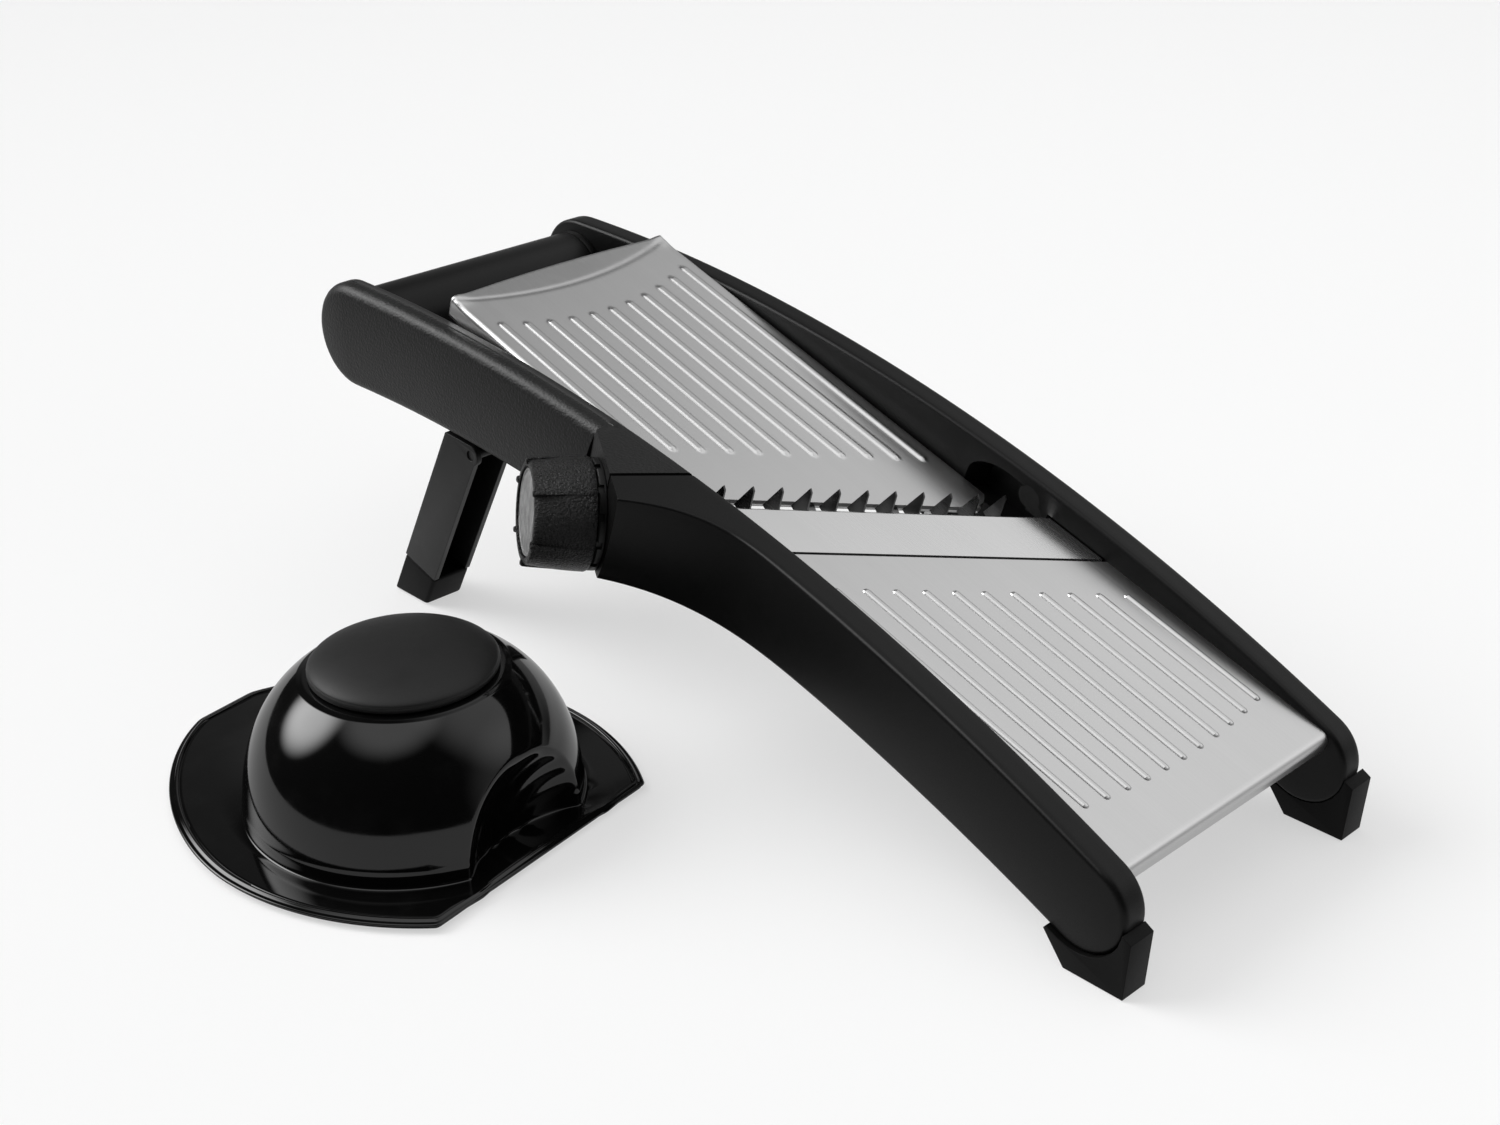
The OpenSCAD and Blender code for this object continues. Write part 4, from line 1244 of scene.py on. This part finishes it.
@dataclass
class FoodHolder:
    """The food holder: a domed shell on a flange, with a finger scoop and a palm cap."""

    finishes: Finishes
    dome_radius: float = 62.5
    dome_height: float = 65.0
    power: float = 2.3
    top_z: float = 55.4
    hole_radius: float = 12.5
    flange_top: float = 3.0
    wall: float = 2.3
    cap_radius: float = 34.5
    cap_rise: float = 7.4
    straight_x: float = -9.0
    nose_x: float = -106.3
    nose_reach: float = 100.0
    nose_half: float = 79.9
    nose_power: float = 1.7
    tail_x: float = 65.0
    tail_middle: tuple[float, float] = (-5.0, -28.0)
    tail_radius: float = 108.0
    scoop_back: float = 63.5
    scoop_deep: float = 16.0
    scoop_half: float = 33.0
    scoop_high: float = 41.0
    scoop_power: float = 2.2
    scoop_round: float = 0.55
    scoop_slope: float = 30.0
    scoop_limit: float = 70.0
    scoop_ease: float = 2.2
    ripple_deep: float = 0.15
    ripple_wave: float = 0.72
    ripple_middle: tuple[float, float] = (26.0, -14.0)

    def build(self) -> None:
        """Builds every piece."""
        self.shell()
        self.cap()

    def outline(self, turn: float) -> float:
        """Distance from the dome's axis to the flange's edge.

        Args:
            turn: Direction in radians.

        Returns:
            The distance.
        """
        inner, outer = 40.0, 130.0
        for _ in range(22):
            reach = (inner + outer) / 2
            x, y = reach * cos(turn), abs(reach * sin(turn))
            if x > self.straight_x:
                over = hypot(x - self.tail_middle[0], y - self.tail_middle[1]) - self.tail_radius
            else:
                along = (self.straight_x - x) / self.nose_reach
                over = along**self.nose_power + (y / self.nose_half) ** self.nose_power - 1
            inside = over < 0 and self.nose_x < x < self.tail_x
            inner, outer = (reach, outer) if inside else (inner, reach)
        return inner

    def smooth_outline(self, turn: float) -> float:
        """The outline with its corners eased."""
        shares = ((-1, 0.25), (-0.5, 0.2), (0, 0.1), (0.5, 0.2), (1, 0.25))
        return sum(self.outline(turn + radians(0.7) * k) * share for k, share in shares)

    def shell(self) -> None:
        """One skin from the stem's hole over the dome to the flange's rim, given its wall after."""
        r, h, e = self.dome_radius, self.dome_height, self.power
        cut = math.acos((self.top_z / h) ** (e / 2))
        profile = [(self.hole_radius, self.top_z), (20.0, self.top_z), (30.0, self.top_z)]
        rim = r * sin(cut) ** (2 / e)
        profile += [(rim - 1.6, self.top_z), (rim - 0.8, self.top_z - 0.12), (rim - 0.25, self.top_z - 0.45)]
        steps = 74
        for i in range(1, steps + 1):
            a = cut + (pi / 2 - cut) * i / steps
            profile.append((r * sin(a) ** (2 / e), h * cos(a) ** (2 / e)))
        profile = [p for p in profile if p[1] > 9.0]
        foot_rings = [(-0.1, 8.6), (0, 8.2), (0, 7.0), (0, 5.0), (0, 3.9)]
        foot_rings += [(0.15, 3.5), (0.4, 3.2), (0.9, 3.02)]
        profile += [(r + out, z) for out, z in foot_rings]
        border = [(16.0, 3.0), (10.0, 3.0), (5.2, 3.0), (4.3, 3.0), (4.0, 2.75), (3.7, 2.8), (3.5, 3.4)]
        border += [(3.2, 3.75), (2.7, 3.8), (2.3, 3.6), (1.9, 3.1), (1.4, 3.0), (0.7, 2.95)]
        border += [(0.25, 2.75), (0.0, 2.3)]
        draft = Draft()
        far, apart = 100.0, 5.0
        draft.lathe(profile + [(far + apart * k, z) for k, (_, z) in enumerate(border)], 480)
        edges: dict[float, float] = {}
        for v in draft.bm.verts:
            radius, turn = hypot(v.co.x, v.co.y), round(math.atan2(v.co.y, v.co.x), 4)
            if radius > far - 10.0:
                back = border[round((radius - far) / apart)][0]
                if turn not in edges:
                    edges[turn] = self.smooth_outline(turn)
                edge = edges[turn]
                foot = self.scooped(turn, r, self.flange_top) + profile[-1][0] - r
                new = edge - back * min(1.0, (edge - foot) / (border[0][0] + 1.0))
            else:
                fillet = max(0.0, radius - r)
                new = self.scooped(turn, radius - fillet, v.co.z) + fillet
            v.co.x, v.co.y = new * cos(turn), new * sin(turn)
        for face in draft.bm.faces:
            if face.normal.z < -0.2:
                face.normal_flip()
        piece = place_piece(
            "holder_shell_polished", draft.mesh("shell"), HOLDER, "holder",
            self.finishes.gloss, "holder_shell", 50,
        )
        thicken(piece, self.wall)

    def scooped(self, turn: float, radius: float, z: float) -> float:
        """Distance from the axis to the dome or, where that is nearer, to the finger scoop.

        Args:
            turn: Direction in radians.
            radius: The dome's radius there.
            z: Height.

        Returns:
            The distance.
        """
        if cos(turn) < 0.5:
            return radius
        found = radius
        up = (max(0.0, z - self.flange_top) / self.scoop_high) ** self.scoop_power
        ripple_y, ripple_z = self.ripple_middle
        for _ in range(8):
            y = found * sin(turn)
            inside = 1 - (abs(y) / self.scoop_half) ** self.scoop_power - up
            rim = max(0.0, inside)
            wave = sin(self.ripple_wave * hypot(y - ripple_y, z - ripple_z))
            back = self.scoop_back - self.scoop_deep * rim**self.scoop_round
            back += self.ripple_deep * wave * min(1.0, rim * 2.5)
            if inside <= 0.0:
                back += -inside * self.scoop_slope
            found += (min(back / cos(turn), self.scoop_limit) - found) * 0.6
        soft = self.scoop_ease
        blend = max(soft - abs(radius - found), 0.0) / soft
        return min(radius, found) - blend * blend * soft * 0.25

    def cap(self) -> None:
        """The palm cap: a low dome with a thin rim line."""
        r, z = self.cap_radius, self.top_z + 0.6
        profile = [(0.0, z), (r - 1.2, z), (r - 0.4, z + 0.2), (r, z + 0.6), (r, z + 2.2), (r - 0.1, z + 2.5)]
        profile += [(r - 0.35, z + 2.7)]
        turns = [pi / 2 * i / 40 for i in range(1, 41)]
        profile += [((r - 0.35) * cos(a), z + 2.7 + self.cap_rise * sin(a) ** 1.3) for a in turns]
        draft = Draft()
        draft.lathe(profile, 192)
        place_piece(
            "palm_cap_soft", draft.mesh("cap"), HOLDER, "plunger",
            self.finishes.cap, "palm_cap", 60,
        )


@dataclass
class CarriedNodes:
    """CAD nodes that keep their shape: eased copies of the moulded ones, finishes for the rest."""

    finishes: Finishes

    def build(self) -> None:
        """Eases and dresses the nodes."""
        f = self.finishes
        eased = (
            ("leg", 0.8, Slot.BLACK_PLASTIC, f.satin, 3),
            ("leg_bracket", 0.6, Slot.BLACK_PLASTIC, f.satin, 3),
            ("leg_foot", 1.6, Slot.RUBBER, f.rubber, 4),
            ("front_foot", 2.2, Slot.RUBBER, f.rubber, 4),
        )
        for kind, width, slot, finish, segments in eased:
            for side in ("left", "right"):
                softened_node(f"{kind}_{side}", width, finish, segments)
        dressed = {
            f.plate: ("runout_plate",),
            f.blade: ("blade",),
            f.dark_steel: ("comb_teeth", "comb_bar"),
            f.bright: ("cam_shaft", "guide_rod_upper", "guide_rod_lower", "prongs"),
            f.satin: ("leg_crossbar", "leg_pin_left", "leg_pin_right"),
            f.inner: (
                "runout_bed", "blade_seat", "comb_guide_left", "comb_guide_right", "dial_bush",
                "ramp_frame", "blade_carrier", "stem_guide", "plunger_stem", "prong_plate",
            ),
        }
        for finish, nodes in dressed.items():
            for node in nodes:
                self.dress(node, finish)
        self.spring("holder_spring")

    def spring(self, node: str) -> None:
        """The holder's spring, a fixed copy of the coil between the holder above it and the plunger below.

        Args:
            node: The CAD node that the coil is copied from and stands for.
        """
        mesh = frame["nodes"][node].data.copy()
        coat(mesh, self.finishes.wire)
        piece = add_object(f"{node}_coil", mesh)
        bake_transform(piece)
        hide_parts(node)

    @staticmethod
    def dress(node: str, finish: bpy.types.Material) -> None:
        """Gives a CAD node its finish."""
        coat(frame["nodes"][node].data, finish)
        LOG.info("%s: carried over with %s", node, finish.name)


@dataclass(frozen=True)
class Glow:
    """A soft-edged part of the sky that lights or is mirrored.

    Attributes:
        toward: Azimuth and elevation of its middle in degrees.
        inner: Angle in degrees inside which it is at its full strength.
        outer: Angle in degrees at which it ends.
        strength: Its full strength.
    """

    toward: tuple[float, float]
    inner: float
    outer: float
    strength: float

    def value(self, net: Net, way: Val) -> Val:
        """The glow's strength in a direction.

        Args:
            net: The world's net.
            way: The direction.

        Returns:
            The strength.
        """
        turn, rise = radians(self.toward[0]), radians(self.toward[1])
        middle = (cos(turn) * cos(rise), sin(turn) * cos(rise), sin(rise))
        near = net.node("VectorMath", {"operation": "DOT_PRODUCT"}, {0: way, 1: middle}, "Value")
        return near.ramp(cos(radians(self.outer)), cos(radians(self.inner))) * self.strength


@dataclass
class Studio:
    """Pale floor, soft boxes and the camera.

    Attributes:
        aim: Where the lamps point, in metres.
        ambient: The room's light on surfaces that don't mirror it.
        dim: The room's light in the surfaces that do.
        floor_half: Half of the floor's width in metres.
        floor_ends: Where the floor ends on X and starts on Y, in metres.
        floor_drop: How far under the object it lies, in metres.
        floor_white: How white it is by itself, to the camera and to mirrored rays.
        floor_tones: Its linear grey to the object and to the camera.
        key: The glow that lights and is mirrored.
        mirrored: Glows that are only mirrored.
        lamps: Each lamp's name, place, width, height and power in watts.
        camera_at: The camera's place in metres.
        camera_turn: Its azimuth, its dip and its roll in degrees.
        lens: Its focal length and the width of its sensor in millimetres.
    """

    aim: tuple = (-0.12, 0.02, 0.06)
    ambient: float = 0.22
    dim: float = 0.015
    floor_half: float = 4.5
    floor_ends: tuple = (0.27, -0.42)
    floor_drop: float = 0.0004
    floor_white: tuple = (0.55, 0.5)
    floor_tones: tuple = (0.3, 0.95)
    key: Glow = Glow((-149.0, 35.0), 5.0, 26.0, 7.5)
    mirrored: tuple = (
        Glow((-90.0, 76.0), 12.0, 33.0, 1.2),
        Glow((70.0, 46.0), 14.0, 49.0, 0.92),
        Glow((128.0, 2.0), 16.0, 48.0, 0.25),
        Glow((41.0, 6.0), 12.0, 44.0, 0.35),
    )
    lamps: tuple = (
        ("top_box", (-0.25, 0.1, 1.9), 2.6, 2.6, 16.0),
        ("right_box", (1.2, 0.5, 0.9), 0.6, 0.9, 1.6),
    )
    camera_at: tuple = (0.312965, -0.45615, 0.4233)
    camera_turn: tuple = (46.382, 26.664, -0.565)
    lens: tuple = (50.0, 36.0)

    def build(self) -> None:
        """Builds the floor, the world, the lamps and the camera."""
        self.floor()
        self.world()
        for lamp in self.lamps:
            self.lamp(*lamp)
        self.camera()
        bpy.context.scene.view_settings.view_transform = "Standard"

    def floor(self) -> None:
        """A wide white floor that keeps the shadow; it throws little light back on the object."""
        draft = Draft()
        half, (end, start) = self.floor_half, self.floor_ends
        bmesh.ops.create_grid(draft.bm, x_segments=2, y_segments=2, size=half)
        bmesh.ops.translate(draft.bm, verts=draft.bm.verts, vec=(end - half, half + start, 0.0))
        mesh = draft.mesh("floor")
        floor = add_object("floor", mesh)
        net = Net("white_floor")
        net.tree.nodes.remove(net.shader)
        direct, mirror = net.rays()
        share = direct * self.floor_white[0] + mirror * self.floor_white[1]
        tone = net.mix(direct, *map(grey, self.floor_tones))
        lit = net.node("BsdfDiffuse", {}, {"Color": tone})
        white = net.node("Emission", {}, {"Color": (1, 1, 1, 1.0), "Strength": 1.0})
        both = net.node("MixShader", {}, {0: share, 1: lit, 2: white})
        net.tree.links.new(both.socket, net.tree.nodes["Material Output"].inputs["Surface"])
        mesh.materials.append(net.material)
        floor.location.z = -self.floor_drop

    def world(self) -> None:
        """White to the camera; to the object a dim room with a key glow and broad mirrored panels."""
        world = bpy.data.worlds.new("studio")
        bpy.context.scene.world = world
        net = Net("studio", world)
        way = net.node("TexCoord", {}, {}, "Object")
        direct, mirror = net.rays()
        panels = self.mirrored[0].value(net, way)
        for glow in self.mirrored[1:]:
            panels = panels + glow.value(net, way)
        room = self.key.value(net, way) + mirror * (panels + self.dim) + (1 - mirror) * self.ambient
        net.feed(net.shader.inputs["Strength"], room * (1 - direct) + direct)
        net.feed(net.shader.inputs["Color"], grey(1.0))

    def lamp(self, name: str, place: Sequence[float], width: float, height: float, power: float) -> None:
        """A soft box that faces the aim and isn't mirrored.

        Args:
            name: Its name.
            place: Where it stands, in metres.
            width: Width in metres.
            height: Height in metres.
            power: Power in watts.
        """
        data = bpy.data.lights.new(name, "AREA")
        data.shape, data.size, data.size_y, data.energy = "RECTANGLE", width, height, power
        lamp = add_object(name, data)
        lamp.location = place
        lamp.rotation_euler = (Vector(self.aim) - Vector(place)).to_track_quat("-Z", "Y").to_euler()
        lamp.visible_glossy = False

    def camera(self) -> None:
        """The camera, where the two rails' outlines fit the photographed view."""
        data = bpy.data.cameras.new("camera")
        data.lens, data.sensor_width = self.lens
        data.clip_start, data.clip_end = 0.01, 50.0
        camera = add_object("camera", data)
        azimuth, dip, roll = self.camera_turn
        turn = Matrix.Rotation(radians(azimuth), 4, "Z") @ Matrix.Rotation(radians(90 - dip), 4, "X")
        level = Matrix.Translation(self.camera_at) @ turn
        camera.matrix_world = level @ Matrix.Rotation(radians(roll), 4, "Z")
        bpy.context.scene.camera = camera


def main() -> None:
    """Builds the slicer, the holder and the studio in order."""
    logging.basicConfig(level=logging.INFO, format="%(name)s %(message)s")
    finishes = Finishes()
    makers = [kind(finishes) for kind in (Rails, RampPlate, Dial, FoodHolder, CarriedNodes)]
    for maker in [*makers, Studio()]:
        LOG.info("building %s", type(maker).__name__)
        maker.build()


if __name__ == "__main__":
    main()
